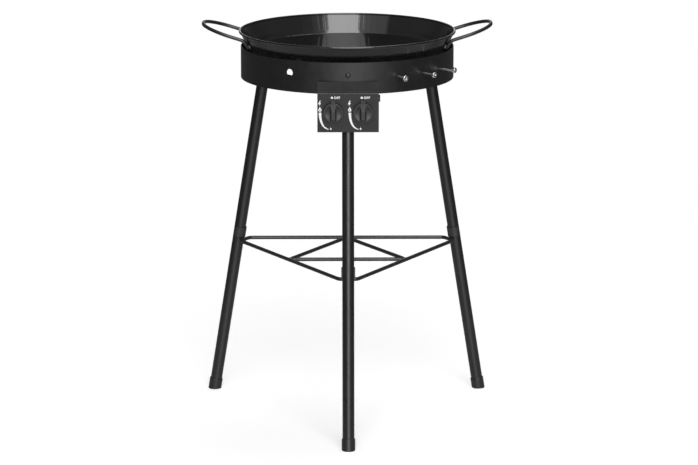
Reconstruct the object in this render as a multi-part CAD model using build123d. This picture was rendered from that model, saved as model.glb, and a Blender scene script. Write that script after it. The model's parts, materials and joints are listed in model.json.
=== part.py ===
from build123d import *
from math import asin, atan2, cos, degrees, pi, radians, sin, sqrt, tan
import os

# Griddle pan on a double ring gas burner, standing on a tripod. All sizes are in millimetres.
# The model is laid out about the pan's upright axis with the floor at Z = 0 and the control
# panel on the -Y side. The finished pieces are then moved so that the origin is on the floor,
# under the middle of the whole object.

# Driving dimensions: pan and handles
PAN_RIM_D = 460.0
PAN_RIM_Z = 829.5
PAN_DEPTH = 41.5
PAN_SHEET = 1.3
PAN_BASE_D = 417.0
PAN_BASE_ROUND = 2.5
PAN_BEAD_D = 5.0
HANDLE_WIRE_D = 7.5
HANDLE_SPAN = 616.0
HANDLE_WIDTH = 137.0
HANDLE_CORNER_R = 62.0
HANDLE_RISE = 17.5
HANDLE_RIM_GAP = 4.8
HANDLE_TAIL = 16.5
HANDLE_BEND_R = 22.0

# Driving dimensions: wind shield and what is bolted to it
SHIELD_D = 451.6
SHIELD_SHEET = 1.5
PAN_STAND_UP = 33.5
SHIELD_HEIGHT = 66.0
LIGHTING_HOLE_D = 15.0
LIGHTING_HOLE_ANGLE = -32.3
FIXING_DROP = 26.0
PEG_ANGLES = (27.0, 43.5, 59.0)
PEG_DROP = 31.5
PEG_REACH = 37.0
PEG_SHANK_D = 5.5
PEG_HEAD_D = 12.0
PEG_HEAD_T = 4.5
PEG_SOCKET_AF = 5.0
PEG_SOCKET_DEPTH = 2.5
PEG_NUT_AF = 9.0
PEG_NUT_T = 5.0

# Driving dimensions: legs, feet and brace
LEG_D = 25.0
LEG_SHEET = 1.5
LEG_TOP_R = 203.3
LEG_FLOOR_R = 337.0
LEG_NAMES = ("front", "right", "left")
CAP_WALL = 1.7
CAP_HEIGHT = 24.5
CAP_SOLE = 4.0
CAP_EDGE = 1.2
CAP_FOOT_ROUND = 1.6
BRACE_Z = 346.2
BRACE_FLAT_L = 38.0
BRACE_WIRE_D = 8.0
BRACE_CORNER_R = 12.0
BRACE_INNER_CORNER_R = 6.0
CLIP_SHEET = 2.0
CLIP_HEIGHT = 22.0
CLIP_WRAP = 200.0

# Driving dimensions: leg sockets and their bolts
SOCKET_WALL = 1.9
SOCKET_LIFT = 4.0
SOCKET_HEAD_ROOM = 10.0
SOCKET_CAP_T = 2.5
BRACKET_WIDTH = 34.0
BRACKET_SHEET = 2.5
BRACKET_EDGE = 11.0
BRACKET_LIFT = 14.0
BOLT_D = 6.0
BOLT_HEAD_D = 11.0
BOLT_HEAD_T = 4.5
BOLT_NUT_AF = 10.0
BOLT_NUT_T = 5.0
BOLT_TAIL = 2.0

# Driving dimensions: burner and pan supports
RING_OUTER_R = 160.0
RING_INNER_R = 75.0
RING_TUBE_D = 18.0
RING_LIFT = 11.0
TUBE_SHEET = 1.2
FEED_HOLE_D = 10.0
FEED_TUBE_D = 18.0
FEED_BEND_R = 25.0
FEED_CAP_T = 2.5
AIR_WINDOW_L = 20.0
AIR_WINDOW_W = 7.0
AIR_WINDOW_SETBACK = 5.0
SUPPORT_T = 4.0
SUPPORT_INNER_R = 55.0
SUPPORT_NOSE = 10.0

# Driving dimensions: control panel
PANEL_WIDTH = 127.0
PANEL_SHEET = 1.5
PANEL_FLANGE_TOP = 27.0
PANEL_LEDGE_LIFT = 5.3
PANEL_LEDGE = 9.0
PANEL_FACE = 82.6
PANEL_BEND_R = 0.6
PANEL_STUD_D = 5.0
PANEL_STUD_L = 14.0
PANEL_STUD_SPACING = 56.0
PANEL_NUT_AF = 8.0
PANEL_NUT_T = 4.0

# Driving dimensions: gas taps and knobs, each along its own axis
TAP_SPACING = 61.5
TAP_DROP = 40.3
TAP_BARREL_D = 22.0
TAP_BARREL_L = 63.0
TAP_BOSS_D = 13.0
TAP_BOSS_L = 12.0
TAP_BORE_D = 5.0
BONNET_FLANGE_T = 6.0
BONNET_NECK_D = 14.0
BONNET_NECK_OUT = 5.0
BONNET_FRONT_T = 2.5
BONNET_NUT_AF = 19.0
BONNET_NUT_T = 4.0
PLUG_FRONT_D = 16.0
PLUG_TAPER = 2.5
PLUG_L = 24.0
PLUG_SOCKET_L = 15.0
SPINDLE_D = 6.0
SPINDLE_COLLAR_D = 10.0
SPINDLE_COLLAR_T = 2.0
SPRING_WIRE_D = 1.4
PUSH_TRAVEL = 3.0
PUSH_SPARE = 0.5
KNOB_D = 41.0
KNOB_SKIRT_T = 10.0
KNOB_GRIP_H = 9.0
KNOB_GRIP_W = 13.4
KNOB_GRIP_L = 35.0
KNOB_GRIP_TOP_W = 8.4
KNOB_GRIP_TOP_L = 19.0
KNOB_GRIP_DROP = 4.5
KNOB_GRIP_ROUND = 1.5
KNOB_NUB_R = 25.5
KNOB_NUB_W = 8.0
KNOB_WALL = 2.5
KNOB_NUT_ROOM = 1.5
KNOB_EDGE = 1.0
KNOB_SCOOP_R = 30.0
KNOB_SCOOP_DEPTH = 4.5
KNOB_SCOOP_INNER = 7.1
KNOB_RIM = 3.2
MANIFOLD_D = 14.7
MANIFOLD_BORE_D = 9.0
MANIFOLD_RISE = 19.5
MANIFOLD_SETBACK = 51.0
MANIFOLD_LEFT = 46.0
INLET_OUT = 3.5
INLET_THREAD_D = 11.4
INLET_THREAD_L = 12.0
SPIGOT_D = 9.0
SPIGOT_BORE_D = 4.0
JET_THREAD_D = 6.0
JET_THREAD_L = 5.0
JET_HEX_AF = 8.0
JET_HEX_T = 4.0
JET_TIP_D = 5.0
JET_TIP_L = 4.0
JET_HOLE_D = 1.2

# Driving dimensions: ignition
IGNITER_D = 13.0
IGNITER_L = 36.0
IGNITER_SETBACK = 7.0
IGNITER_CAP_D = 8.0
IGNITER_CAP_L = 4.0
HOLDER_WALL = 2.0
HOLDER_WIDTH = 8.0
ELECTRODE_X = 14.0
ELECTRODE_R = 118.0
ELECTRODE_D = 6.5
ELECTRODE_ABOVE = 6.0
ELECTRODE_BELOW = 26.0
ELECTRODE_COLLAR_D = 9.0
ELECTRODE_COLLAR_T = 2.0
TIP_D = 2.0
TIP_ROOT = 10.0
TIP_BEND_R = 4.0
SPARK_GAP = 4.0
SPARK_LIFT = 2.0
STRIP_LENGTH = 44.0
STRIP_WIDTH = 14.0
STRIP_SHEET = 2.0
LEAD_D = 3.0
LEAD_STRAIGHT = 20.0
LEAD_SWEEP = 20.0
LEAD_RISE = 30.0
LEAD_EASE = 0.45

# Named clearances
SEAT_GAP = 0.3
WELD_GAP = 0.1
FACE_GAP = 0.05
RUNNING_GAP = 0.05
SLIP_GAP = 0.2
BOLT_GAP = 0.25

# Heights, radii and angles that follow from the driving dimensions
LEG_ANGLES = {name: 360 / len(LEG_NAMES) * place for place, name in enumerate(LEG_NAMES)}
SHIELD_R = SHIELD_D / 2
SHIELD_IN_R = SHIELD_R - SHIELD_SHEET
SHIELD_TOP_Z = PAN_RIM_Z - PAN_STAND_UP
SHIELD_BOTTOM_Z = SHIELD_TOP_Z - SHIELD_HEIGHT
FIXING_Z = SHIELD_TOP_Z - FIXING_DROP
PEG_Z = SHIELD_TOP_Z - PEG_DROP
PAN_BOTTOM_Z = PAN_RIM_Z - PAN_DEPTH - PAN_SHEET
PAN_BEAD_R = PAN_RIM_D / 2 - PAN_BEAD_D / 2
PAN_BEAD_Z = PAN_RIM_Z - PAN_BEAD_D / 2
PAN_DRAFT = atan2(PAN_BEAD_R - PAN_BASE_D / 2, PAN_BEAD_Z - PAN_BOTTOM_Z)
RING_Z = SHIELD_BOTTOM_Z + RING_LIFT
RING_TOP_Z = RING_Z + RING_TUBE_D / 2
LEAN = atan2(LEG_FLOOR_R - LEG_TOP_R, SHIELD_BOTTOM_Z)
SOCKET_R = LEG_D / 2 + SLIP_GAP + SOCKET_WALL
PANEL_BACK_Y = -SHIELD_R - WELD_GAP
PANEL_LEDGE_Z = SHIELD_BOTTOM_Z + PANEL_LEDGE_LIFT
PANEL_FRONT_Y = PANEL_BACK_Y - PANEL_SHEET - PANEL_LEDGE
PANEL_REAR_Y = PANEL_FRONT_Y + PANEL_SHEET
TAP_Z = PANEL_LEDGE_Z - TAP_DROP
TAP_SIDES = {"left": -1, "right": 1}
TAP_END_Y = PANEL_REAR_Y + TAP_BARREL_L
BOSS_END_Y = TAP_END_Y + TAP_BOSS_L
MANIFOLD_Y = PANEL_REAR_Y + MANIFOLD_SETBACK
MANIFOLD_Z = TAP_Z + MANIFOLD_RISE
CAP_ROUND_LOSS = CAP_FOOT_ROUND * (tan(LEAN) + 1 / cos(LEAN) - 1)
FRONT_REACH = LEG_FLOOR_R + (LEG_D / 2 + CAP_WALL) / cos(LEAN) - CAP_ROUND_LOSS
BACK_REACH = PAN_RIM_D / 2
AXIS_Y = (FRONT_REACH - BACK_REACH) / 2


# Shared tools
def rod(radius, start, end):
    """A round bar between two points."""
    axis = Vector(*end) - Vector(*start)
    return Solid.make_cylinder(radius, axis.length, Plane(origin=start, z_dir=axis))


def along_y(radius, x, z, y_start, y_end):
    """A round bar along Y."""
    return rod(radius, (x, y_start, z), (x, y_end, z))


def hexagon(across_flats, thickness, plane):
    """A hexagonal block that stands on a plane."""
    return extrude(plane * RegularPolygon(across_flats / 2, 6, major_radius=False), thickness)


def block(x_range, y_range, z_range):
    """A rectangular block between the given limits."""
    (x0, x1), (y0, y1), (z0, z1) = x_range, y_range, z_range
    middle = Pos((x0 + x1) / 2, (y0 + y1) / 2, (z0 + z1) / 2)
    return middle * Box(x1 - x0, y1 - y0, z1 - z0)


def corner_arc(before, corner, after, radius):
    """The tangent arc of a given radius that rounds a corner."""
    to_before = (before - corner).normalized()
    to_after = (after - corner).normalized()
    half_angle = radians(to_before.get_angle(to_after)) / 2
    inward = (to_before + to_after).normalized()
    reach = radius / tan(half_angle)
    middle = corner + inward * (radius / sin(half_angle) - radius)
    return ThreePointArc(corner + to_before * reach, middle, corner + to_after * reach)


def bent_path(points, radii):
    """An open route of straight runs joined by tangent arcs, one radius for each inner point."""
    spots = [Vector(*point) for point in points]
    edges = []
    here = spots[0]
    for before, corner, after, radius in zip(spots, spots[1:], spots[2:], radii):
        arc = corner_arc(before, corner, after, radius)
        edges += [Line(here, arc @ 0), arc]
        here = arc @ 1
    edges.append(Line(here, spots[-1]))
    return Wire(edges)


def round_bar(path, radius):
    """A round bar swept along a route."""
    return sweep(Plane(origin=path @ 0, z_dir=path % 0) * Circle(radius), path=path)


def closed_loop(corners, corner_radius, wire_radius):
    """A closed wire loop: one bent bar for each corner, between the middles of its two sides."""
    spots = [Vector(*corner) for corner in corners]
    loop = None
    for index, corner in enumerate(spots):
        before = (spots[index - 1] + corner) / 2
        after = (spots[(index + 1) % len(spots)] + corner) / 2
        bar = round_bar(bent_path([before, corner, after], [corner_radius]), wire_radius)
        loop = bar if loop is None else loop + bar
    return loop


def round_wall(angle):
    """Turns a piece made at the front to its place round the upright axis."""
    return Rot(0, 0, angle)


def group(pieces):
    """Like pieces that share one node as separate solids."""
    solids = []
    for piece in pieces:
        solids += piece.solids()
    return Compound(children=solids)


# Pan and handles
def pan_wall_r(z):
    """Outside radius of the sloping pan wall at a height."""
    return PAN_BASE_D / 2 + (z - PAN_BOTTOM_Z) * tan(PAN_DRAFT)


def make_pan():
    """Pressed pan: flat floor, straight sloping wall and rolled rim."""
    outside = FilletPolyline(
        (0, PAN_BOTTOM_Z),
        (PAN_BASE_D / 2, PAN_BOTTOM_Z),
        (PAN_BEAD_R, PAN_BEAD_Z),
        radius=PAN_BASE_ROUND,
    )
    sheet = make_face(offset(outside, PAN_SHEET, side=Side.LEFT))
    bead = Pos(PAN_BEAD_R, PAN_BEAD_Z) * Circle(PAN_BEAD_D / 2)
    return revolve(Plane.XZ * (sheet + bead), Axis.Z)


def make_handle(side):
    """Wire loop that rises outwards, with its two ends welded down the pan wall."""
    wire_r = HANDLE_WIRE_D / 2
    half_width = HANDLE_WIDTH / 2
    slope = tan(radians(HANDLE_RISE))
    tip_x = HANDLE_SPAN / 2 - wire_r
    # the loop passes under the rolled rim with a gap, and rises from there to its tip
    rim_x = sqrt(PAN_BEAD_R**2 - half_width**2)
    rim_pass_z = PAN_RIM_Z - PAN_BEAD_D - HANDLE_RIM_GAP - wire_r / cos(radians(HANDLE_RISE))
    tip_z = rim_pass_z + (tip_x - rim_x) * slope
    stand_off = (wire_r + WELD_GAP) / cos(PAN_DRAFT)
    # the loop's plane meets the wall where both give the same height
    root_z = tip_z
    for _ in range(12):
        root_r = pan_wall_r(root_z) + stand_off
        root_z = tip_z - (tip_x - sqrt(root_r**2 - half_width**2)) * slope
    root_angle = asin(half_width / root_r)
    tail_z = root_z - HANDLE_TAIL
    tail_r = pan_wall_r(tail_z) + stand_off
    half = [
        (tail_r * cos(root_angle), tail_r * sin(root_angle), tail_z),
        (root_r * cos(root_angle), half_width, root_z),
        (tip_x, half_width, tip_z),
    ]
    points = half + [(x, -y, z) for x, y, z in reversed(half)]
    radii = [HANDLE_BEND_R, HANDLE_CORNER_R, HANDLE_CORNER_R, HANDLE_BEND_R]
    loop = round_bar(bent_path([(side * x, y, z) for x, y, z in points], radii), wire_r)
    return loop


# Wind shield, tool pegs
def make_shield():
    """Round band, open above and below, with its drilled holes."""
    band = Pos(0, 0, (SHIELD_TOP_Z + SHIELD_BOTTOM_Z) / 2) * (
        Cylinder(SHIELD_R, SHIELD_HEIGHT) - Cylinder(SHIELD_IN_R, SHIELD_HEIGHT)
    )
    depth = (-SHIELD_R - SHIELD_SHEET, -SHIELD_IN_R + SHIELD_SHEET)
    for angle in LEG_ANGLES.values():
        band -= round_wall(angle) * along_y(BOLT_D / 2 + BOLT_GAP, 0, FIXING_Z, *depth)
    for angle in PEG_ANGLES:
        band -= round_wall(angle) * along_y(PEG_SHANK_D / 2 + BOLT_GAP, 0, PEG_Z, *depth)
    band -= round_wall(LIGHTING_HOLE_ANGLE) * along_y(LIGHTING_HOLE_D / 2, 0, FIXING_Z, *depth)
    stud_depth = (PANEL_BACK_Y - SHIELD_SHEET, PANEL_BACK_Y + PANEL_STUD_L)
    for side in TAP_SIDES.values():
        stud_x = side * PANEL_STUD_SPACING / 2
        band -= along_y(PANEL_STUD_D / 2 + BOLT_GAP, stud_x, panel_stud_z(), *stud_depth)
    return band


def make_peg(angle):
    """Long screw with a round socket head, standing out of the shield."""
    head_y = -SHIELD_R - PEG_REACH
    tail_y = -SHIELD_IN_R + PEG_NUT_T + SLIP_GAP
    peg = along_y(PEG_SHANK_D / 2, 0, PEG_Z, head_y + PEG_HEAD_T / 2, tail_y)
    head = along_y(PEG_HEAD_D / 2, 0, PEG_Z, head_y, head_y + PEG_HEAD_T)
    head = fillet(head.faces().sort_by(Axis.Y)[0].edges(), PEG_HEAD_T / 3)
    socket_plane = Plane(origin=(0, head_y, PEG_Z), z_dir=(0, 1, 0))
    peg = peg + head - hexagon(PEG_SOCKET_AF, PEG_SOCKET_DEPTH, socket_plane)
    return round_wall(angle) * peg


def make_peg_nut(angle):
    """Weld nut on the inside of the shield, behind a peg."""
    face_y = -sqrt(SHIELD_IN_R**2 - (PEG_NUT_AF / sqrt(3)) ** 2) + FACE_GAP
    nut = hexagon(PEG_NUT_AF, PEG_NUT_T, Plane(origin=(0, face_y, PEG_Z), z_dir=(0, 1, 0)))
    nut -= along_y(PEG_SHANK_D / 2 + RUNNING_GAP, 0, PEG_Z, face_y, face_y + PEG_NUT_T)
    return round_wall(angle) * nut


# Legs, feet, brace. Each is made at the front and turned to its place.
def leg_plane():
    """Plane on the floor at the front leg, with its Z along the leg."""
    return Plane(origin=(0, -LEG_FLOOR_R, 0), x_dir=(1, 0, 0), z_dir=(0, sin(LEAN), cos(LEAN)))


def leg_r(z):
    """Distance of the leg's axis from the upright axis at a height."""
    return LEG_FLOOR_R - z * tan(LEAN)


def leg_bar(radius, z_start, z_end):
    """A round bar along the leg between two heights of its axis."""
    return rod(radius, (0, -leg_r(z_start), z_start), (0, -leg_r(z_end), z_end))


def leg_bottom_z():
    """Height of the leg's axis at its lower end, where its low edge rests on the foot's sole."""
    return CAP_SOLE + LEG_D / 2 * sin(LEAN)


def socket_top_z():
    """Height of the socket's axis at its closed upper end."""
    return PAN_BOTTOM_Z - SOCKET_HEAD_ROOM


def leg_top_z():
    """Height of the leg's axis at its upper end, under the socket's cap."""
    return socket_top_z() - (SOCKET_CAP_T + FACE_GAP) * cos(LEAN)


def make_leg():
    """Straight tube from the foot up into its socket."""
    ends = (leg_bottom_z(), leg_top_z())
    return leg_bar(LEG_D / 2, *ends) - leg_bar(LEG_D / 2 - LEG_SHEET, *ends)


def make_foot_cap():
    """Push-on foot, cut level with the floor."""
    cap_r = LEG_D / 2 + CAP_WALL
    cap = leg_bar(cap_r, -cap_r * sin(LEAN), CAP_HEIGHT)
    cap = chamfer(cap.edges().sort_by(Axis.Z)[-1], CAP_EDGE)
    cap -= leg_bar(LEG_D / 2 + FACE_GAP, leg_bottom_z() - FACE_GAP, CAP_HEIGHT + cap_r)
    reach = 2 * cap_r
    below = block((-reach, reach), (-LEG_FLOOR_R - reach, -LEG_FLOOR_R + reach), (-reach, 0))
    cap -= below
    outer = cap.edges().group_by(Axis.Z)[0].sort_by(SortBy.LENGTH)[-1]
    return fillet(outer, CAP_FOOT_ROUND)


def brace_flat_r():
    """Distance of the brace wire from the upright axis where it crosses a leg."""
    return leg_r(BRACE_Z) - (LEG_D / 2 + BRACE_WIRE_D / 2 + WELD_GAP) / cos(LEAN)


def brace_side_r():
    """Distance of the brace's long sides from the upright axis, which follows from its flats."""
    return (brace_flat_r() + BRACE_FLAT_L / 2 / tan(radians(30))) / 2


def at_angle(radius, angle, sideways=0.0):
    """Point at the brace's height, out along an angle and off to its side."""
    out = (sin(radians(angle)), -cos(radians(angle)))
    across = (cos(radians(angle)), sin(radians(angle)))
    return (radius * out[0] + sideways * across[0], radius * out[1] + sideways * across[1], BRACE_Z)


def make_brace_outer():
    """Triangle of wire with its corners cut off flat against the legs."""
    flat_r = brace_flat_r()
    half_flat = BRACE_FLAT_L / 2
    corners = []
    for angle in sorted(LEG_ANGLES.values()):
        corners += [at_angle(flat_r, angle, -half_flat), at_angle(flat_r, angle, half_flat)]
    return closed_loop(corners, BRACE_CORNER_R, BRACE_WIRE_D / 2)


def make_brace_inner():
    """Smaller triangle, turned half round, whose corners meet the middles of the outer sides."""
    side_r = (brace_side_r() - BRACE_WIRE_D - WELD_GAP + BRACE_INNER_CORNER_R) / 2
    corners = [at_angle(2 * side_r, angle + 180) for angle in sorted(LEG_ANGLES.values())]
    return closed_loop(corners, BRACE_INNER_CORNER_R, BRACE_WIRE_D / 2)


def make_brace_clip():
    """Half-pipe that snaps on the inner side of a leg, standing on the brace wire."""
    inner_r = LEG_D / 2 + WELD_GAP
    outer_r = inner_r + CLIP_SHEET
    start_z = BRACE_Z + BRACE_WIRE_D / 2 + outer_r * sin(LEAN)
    end_z = start_z + CLIP_HEIGHT * cos(LEAN)
    pipe = leg_bar(outer_r, start_z, end_z) - leg_bar(inner_r, start_z, end_z)
    mouth = outer_r * sin(radians((CLIP_WRAP - 180) / 2))
    open_side = leg_plane() * Pos(0, -mouth - outer_r, 0) * Box(4 * outer_r, 2 * outer_r, 4 * end_z)
    return pipe - open_side


# Leg sockets and their bolts
def make_socket():
    """Inclined socket welded into a U bracket that is bolted to the shield."""
    bottom_z = SHIELD_BOTTOM_Z + SOCKET_LIFT
    top_z = socket_top_z()
    tube = leg_bar(SOCKET_R, bottom_z, top_z)
    bracket_z = (SHIELD_BOTTOM_Z + BRACKET_LIFT, FIXING_Z + BRACKET_EDGE)
    half_width = BRACKET_WIDTH / 2
    plate_y = bracket_face_y()
    bracket = block((-half_width, half_width), (plate_y, plate_y + BRACKET_SHEET), bracket_z)
    web_z = (bracket_z[0], top_z - SOCKET_R * sin(LEAN))
    for side in (-1, 1):
        web_x = sorted((side * half_width, side * (half_width - BRACKET_SHEET - SOCKET_WALL / 2)))
        bracket += block(web_x, (plate_y, -leg_r(web_z[1])), web_z)
    bore = leg_bar(LEG_D / 2 + SLIP_GAP, bottom_z - SOCKET_R, leg_top_z() + FACE_GAP * cos(LEAN))
    bolt_way = along_y(BOLT_D / 2 + BOLT_GAP, 0, FIXING_Z, plate_y, plate_y + BRACKET_SHEET)
    return tube + bracket - bore - bolt_way


def bracket_face_y():
    """Outer face of the flat bracket, whose edges meet the round shield."""
    return -sqrt(SHIELD_IN_R**2 - (BRACKET_WIDTH / 2) ** 2) + FACE_GAP


def make_leg_bolt():
    """Domed bolt through the shield and the bracket."""
    head_y = -SHIELD_R - BOLT_HEAD_T
    tail_y = bracket_face_y() + BRACKET_SHEET + BOLT_NUT_T + BOLT_TAIL
    head = along_y(BOLT_HEAD_D / 2, 0, FIXING_Z, head_y, -SHIELD_R - FACE_GAP)
    head = fillet(head.faces().sort_by(Axis.Y)[0].edges(), BOLT_HEAD_T * 0.75)
    return head + along_y(BOLT_D / 2, 0, FIXING_Z, -SHIELD_R - BOLT_HEAD_T / 2, tail_y)


def make_leg_nut():
    """Nut behind the bracket."""
    face_y = bracket_face_y() + BRACKET_SHEET + FACE_GAP
    nut = hexagon(BOLT_NUT_AF, BOLT_NUT_T, Plane(origin=(0, face_y, FIXING_Z), z_dir=(0, 1, 0)))
    return nut - along_y(BOLT_D / 2 + RUNNING_GAP, 0, FIXING_Z, face_y, face_y + BOLT_NUT_T)


# Burner
def tap_x(side):
    """Sideways place of a tap, its tube and its knob."""
    return side * TAP_SPACING / 2


def feed_y(ring_r, behind):
    """Where a feed tube meets its ring, at the front or behind the middle."""
    return behind * sqrt(ring_r**2 - tap_x(1) ** 2)


def make_ring(ring_r, feed_x, feed_at_y):
    """Hollow ring with the hole where its feed tube comes in from below."""
    ring = Torus(ring_r, RING_TUBE_D / 2) - Torus(ring_r, RING_TUBE_D / 2 - TUBE_SHEET)
    ring -= rod(FEED_HOLE_D / 2, (feed_x, feed_at_y, -RING_TUBE_D), (feed_x, feed_at_y, 0))
    return Pos(0, 0, RING_Z) * ring


def make_feed_tube(ring_r, x, end_y):
    """Mixing tube from the jet, with air windows, an elbow and an end shaped to the ring."""
    start_y = BOSS_END_Y - FEED_CAP_T - SLIP_GAP
    points = [(x, start_y, TAP_Z), (x, end_y, TAP_Z), (x, end_y, RING_Z)]
    path = bent_path(points, [FEED_BEND_R])
    bore_path = bent_path([(x, start_y + FEED_CAP_T, TAP_Z)] + points[1:], [FEED_BEND_R])
    tube = round_bar(path, FEED_TUBE_D / 2) - round_bar(bore_path, FEED_TUBE_D / 2 - TUBE_SHEET)
    tube -= along_y(TAP_BOSS_D / 2 + SLIP_GAP, x, TAP_Z, start_y, start_y + FEED_CAP_T)
    window_y = start_y + FEED_CAP_T + AIR_WINDOW_SETBACK
    window_yy = (window_y, window_y + AIR_WINDOW_L)
    half_w = AIR_WINDOW_W / 2
    reach = FEED_TUBE_D
    tube -= block((x - half_w, x + half_w), window_yy, (TAP_Z - reach, TAP_Z + reach))
    tube -= block((x - reach, x + reach), window_yy, (TAP_Z - half_w, TAP_Z + half_w))
    return tube - Pos(0, 0, RING_Z) * Torus(ring_r, RING_TUBE_D / 2 + WELD_GAP)


def make_support():
    """Bar on edge from a leg socket inwards, notched over both rings; the pan stands on it."""
    top_z = PAN_BOTTOM_Z - SEAT_GAP
    slant = tan(LEAN)
    end_r = leg_r(RING_Z) - (SOCKET_R + WELD_GAP) / cos(LEAN)
    outline = Polyline(
        (SUPPORT_INNER_R, top_z),
        (end_r - (top_z - RING_Z) * slant, top_z),
        (end_r, RING_Z),
        (SUPPORT_INNER_R + SUPPORT_NOSE / 2, RING_Z),
        (SUPPORT_INNER_R, RING_Z + SUPPORT_NOSE),
        close=True,
    )
    profile = make_face(outline)
    for ring_r in (RING_OUTER_R, RING_INNER_R):
        profile -= Pos(ring_r, RING_Z) * Circle(RING_TUBE_D / 2 + WELD_GAP)
    upright = Plane(origin=(0, 0, 0), x_dir=(0, -1, 0), z_dir=(-1, 0, 0))
    return extrude(upright * profile, SUPPORT_T / 2, both=True)


# Control panel
def panel_stud_z():
    """Height of the panel's studs, half way up its flange."""
    return (PANEL_LEDGE_Z + SHIELD_BOTTOM_Z + PANEL_FLANGE_TOP) / 2


def make_panel():
    """Bent sheet: a flange against the shield, a ledge and the front plate, with two studs."""
    outside = FilletPolyline(
        (PANEL_BACK_Y, SHIELD_BOTTOM_Z + PANEL_FLANGE_TOP),
        (PANEL_BACK_Y, PANEL_LEDGE_Z - PANEL_SHEET),
        (PANEL_REAR_Y, PANEL_LEDGE_Z - PANEL_SHEET),
        (PANEL_REAR_Y, PANEL_LEDGE_Z - PANEL_FACE),
        radius=[PANEL_BEND_R + PANEL_SHEET, PANEL_BEND_R],
    )
    sheet = make_face(offset(outside, PANEL_SHEET, side=Side.RIGHT))
    upright = Plane(origin=(0, 0, 0), x_dir=(0, 1, 0), z_dir=(1, 0, 0))
    panel = extrude(upright * sheet, PANEL_WIDTH / 2, both=True)
    for side in TAP_SIDES.values():
        neck_r = BONNET_NECK_D / 2 + SLIP_GAP
        panel -= along_y(neck_r, tap_x(side), TAP_Z, PANEL_FRONT_Y, PANEL_REAR_Y)
        stud_x = side * PANEL_STUD_SPACING / 2
        stud_y = (PANEL_BACK_Y - PANEL_SHEET / 2, PANEL_BACK_Y + PANEL_STUD_L)
        panel += along_y(PANEL_STUD_D / 2, stud_x, panel_stud_z(), *stud_y)
    return panel


def make_panel_nut(side):
    """Nut on a panel stud, on the inside of the round shield."""
    stud_x = side * PANEL_STUD_SPACING / 2
    reach_x = PANEL_STUD_SPACING / 2 + PANEL_NUT_AF / sqrt(3)
    face_y = -sqrt(SHIELD_IN_R**2 - reach_x**2) + FACE_GAP
    place = Plane(origin=(stud_x, face_y, panel_stud_z()), x_dir=(1, 0, 0), z_dir=(0, 1, 0))
    nut = hexagon(PANEL_NUT_AF, PANEL_NUT_T, place)
    bore_r = PANEL_STUD_D / 2 + RUNNING_GAP
    return nut - along_y(bore_r, stud_x, panel_stud_z(), face_y, face_y + PANEL_NUT_T)


# Gas train. Each tap lies along Y behind the panel.
def make_manifold():
    """Pipe above the taps, closed at the left, with a threaded inlet at the right."""
    left_x = -MANIFOLD_LEFT
    right_x = PANEL_WIDTH / 2 + INLET_OUT
    wall = (MANIFOLD_D - MANIFOLD_BORE_D) / 2

    def along_x(radius, x_start, x_end):
        return rod(radius, (x_start, MANIFOLD_Y, MANIFOLD_Z), (x_end, MANIFOLD_Y, MANIFOLD_Z))

    pipe = along_x(MANIFOLD_D / 2, left_x, right_x)
    pipe = chamfer(pipe.edges().group_by(Axis.X)[-1], KNOB_EDGE / 2)
    pipe -= along_x(MANIFOLD_BORE_D / 2, left_x + wall, right_x)
    pipe -= along_x(INLET_THREAD_D / 2, right_x - INLET_THREAD_L, right_x)
    for side in TAP_SIDES.values():
        x = tap_x(side)
        pipe -= rod(SPIGOT_D / 2 + FACE_GAP, (x, MANIFOLD_Y, TAP_Z), (x, MANIFOLD_Y, MANIFOLD_Z))
    return pipe


def plug_front_y():
    """Front face of the taper plug, behind the bonnet."""
    return PANEL_REAR_Y + BONNET_FLANGE_T + SLIP_GAP


def plug_taper(front_gap, rear_gap, radial_gap, x):
    """The taper of the plug, or of its seat when the gaps are above zero."""
    front_y = plug_front_y() - front_gap
    length = PLUG_L + front_gap + rear_gap
    front_r = PLUG_FRONT_D / 2 + radial_gap
    plane = Plane(origin=(x, front_y, TAP_Z), x_dir=(1, 0, 0), z_dir=(0, 1, 0))
    return Solid.make_cone(front_r, front_r - PLUG_TAPER / 2, length, plane)


def igniter_z():
    """Height of the igniter, held in a ring under its tap."""
    return TAP_Z - TAP_BARREL_D / 2 - IGNITER_D / 2 - FACE_GAP - HOLDER_WALL / 2


def make_valve_body(side):
    """Cast tap body: barrel, outlet boss, inlet spigot into the manifold and igniter holder."""
    x = tap_x(side)
    front_y = PANEL_REAR_Y + BONNET_FLANGE_T + FACE_GAP
    body = along_y(TAP_BARREL_D / 2, x, TAP_Z, front_y, TAP_END_Y)
    body += along_y(TAP_BOSS_D / 2, x, TAP_Z, TAP_END_Y, BOSS_END_Y)
    body += rod(SPIGOT_D / 2, (x, MANIFOLD_Y, TAP_Z), (x, MANIFOLD_Y, spigot_top_z()))
    holder_y = PANEL_REAR_Y + IGNITER_SETBACK + IGNITER_L / 2
    holder_yy = (holder_y - HOLDER_WIDTH / 2, holder_y + HOLDER_WIDTH / 2)
    body += along_y(IGNITER_D / 2 + FACE_GAP + HOLDER_WALL, x, igniter_z(), *holder_yy)
    body -= along_y(IGNITER_D / 2 + FACE_GAP, x, igniter_z(), *holder_yy)
    body -= plug_taper(SLIP_GAP, SLIP_GAP, RUNNING_GAP, x)
    body -= along_y(TAP_BORE_D / 2, x, TAP_Z, front_y, BOSS_END_Y)
    body -= along_y(JET_THREAD_D / 2 + RUNNING_GAP, x, TAP_Z, BOSS_END_Y - JET_THREAD_L, BOSS_END_Y)
    return body - rod(SPIGOT_BORE_D / 2, (x, MANIFOLD_Y, TAP_Z), (x, MANIFOLD_Y, spigot_top_z()))


def spigot_top_z():
    """Top of the tap's inlet spigot, inside the manifold's wall."""
    return MANIFOLD_Z - MANIFOLD_BORE_D / 2 - SLIP_GAP


def neck_front_y():
    """Front end of the bonnet's neck."""
    return PANEL_FRONT_Y - BONNET_NECK_OUT


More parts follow.
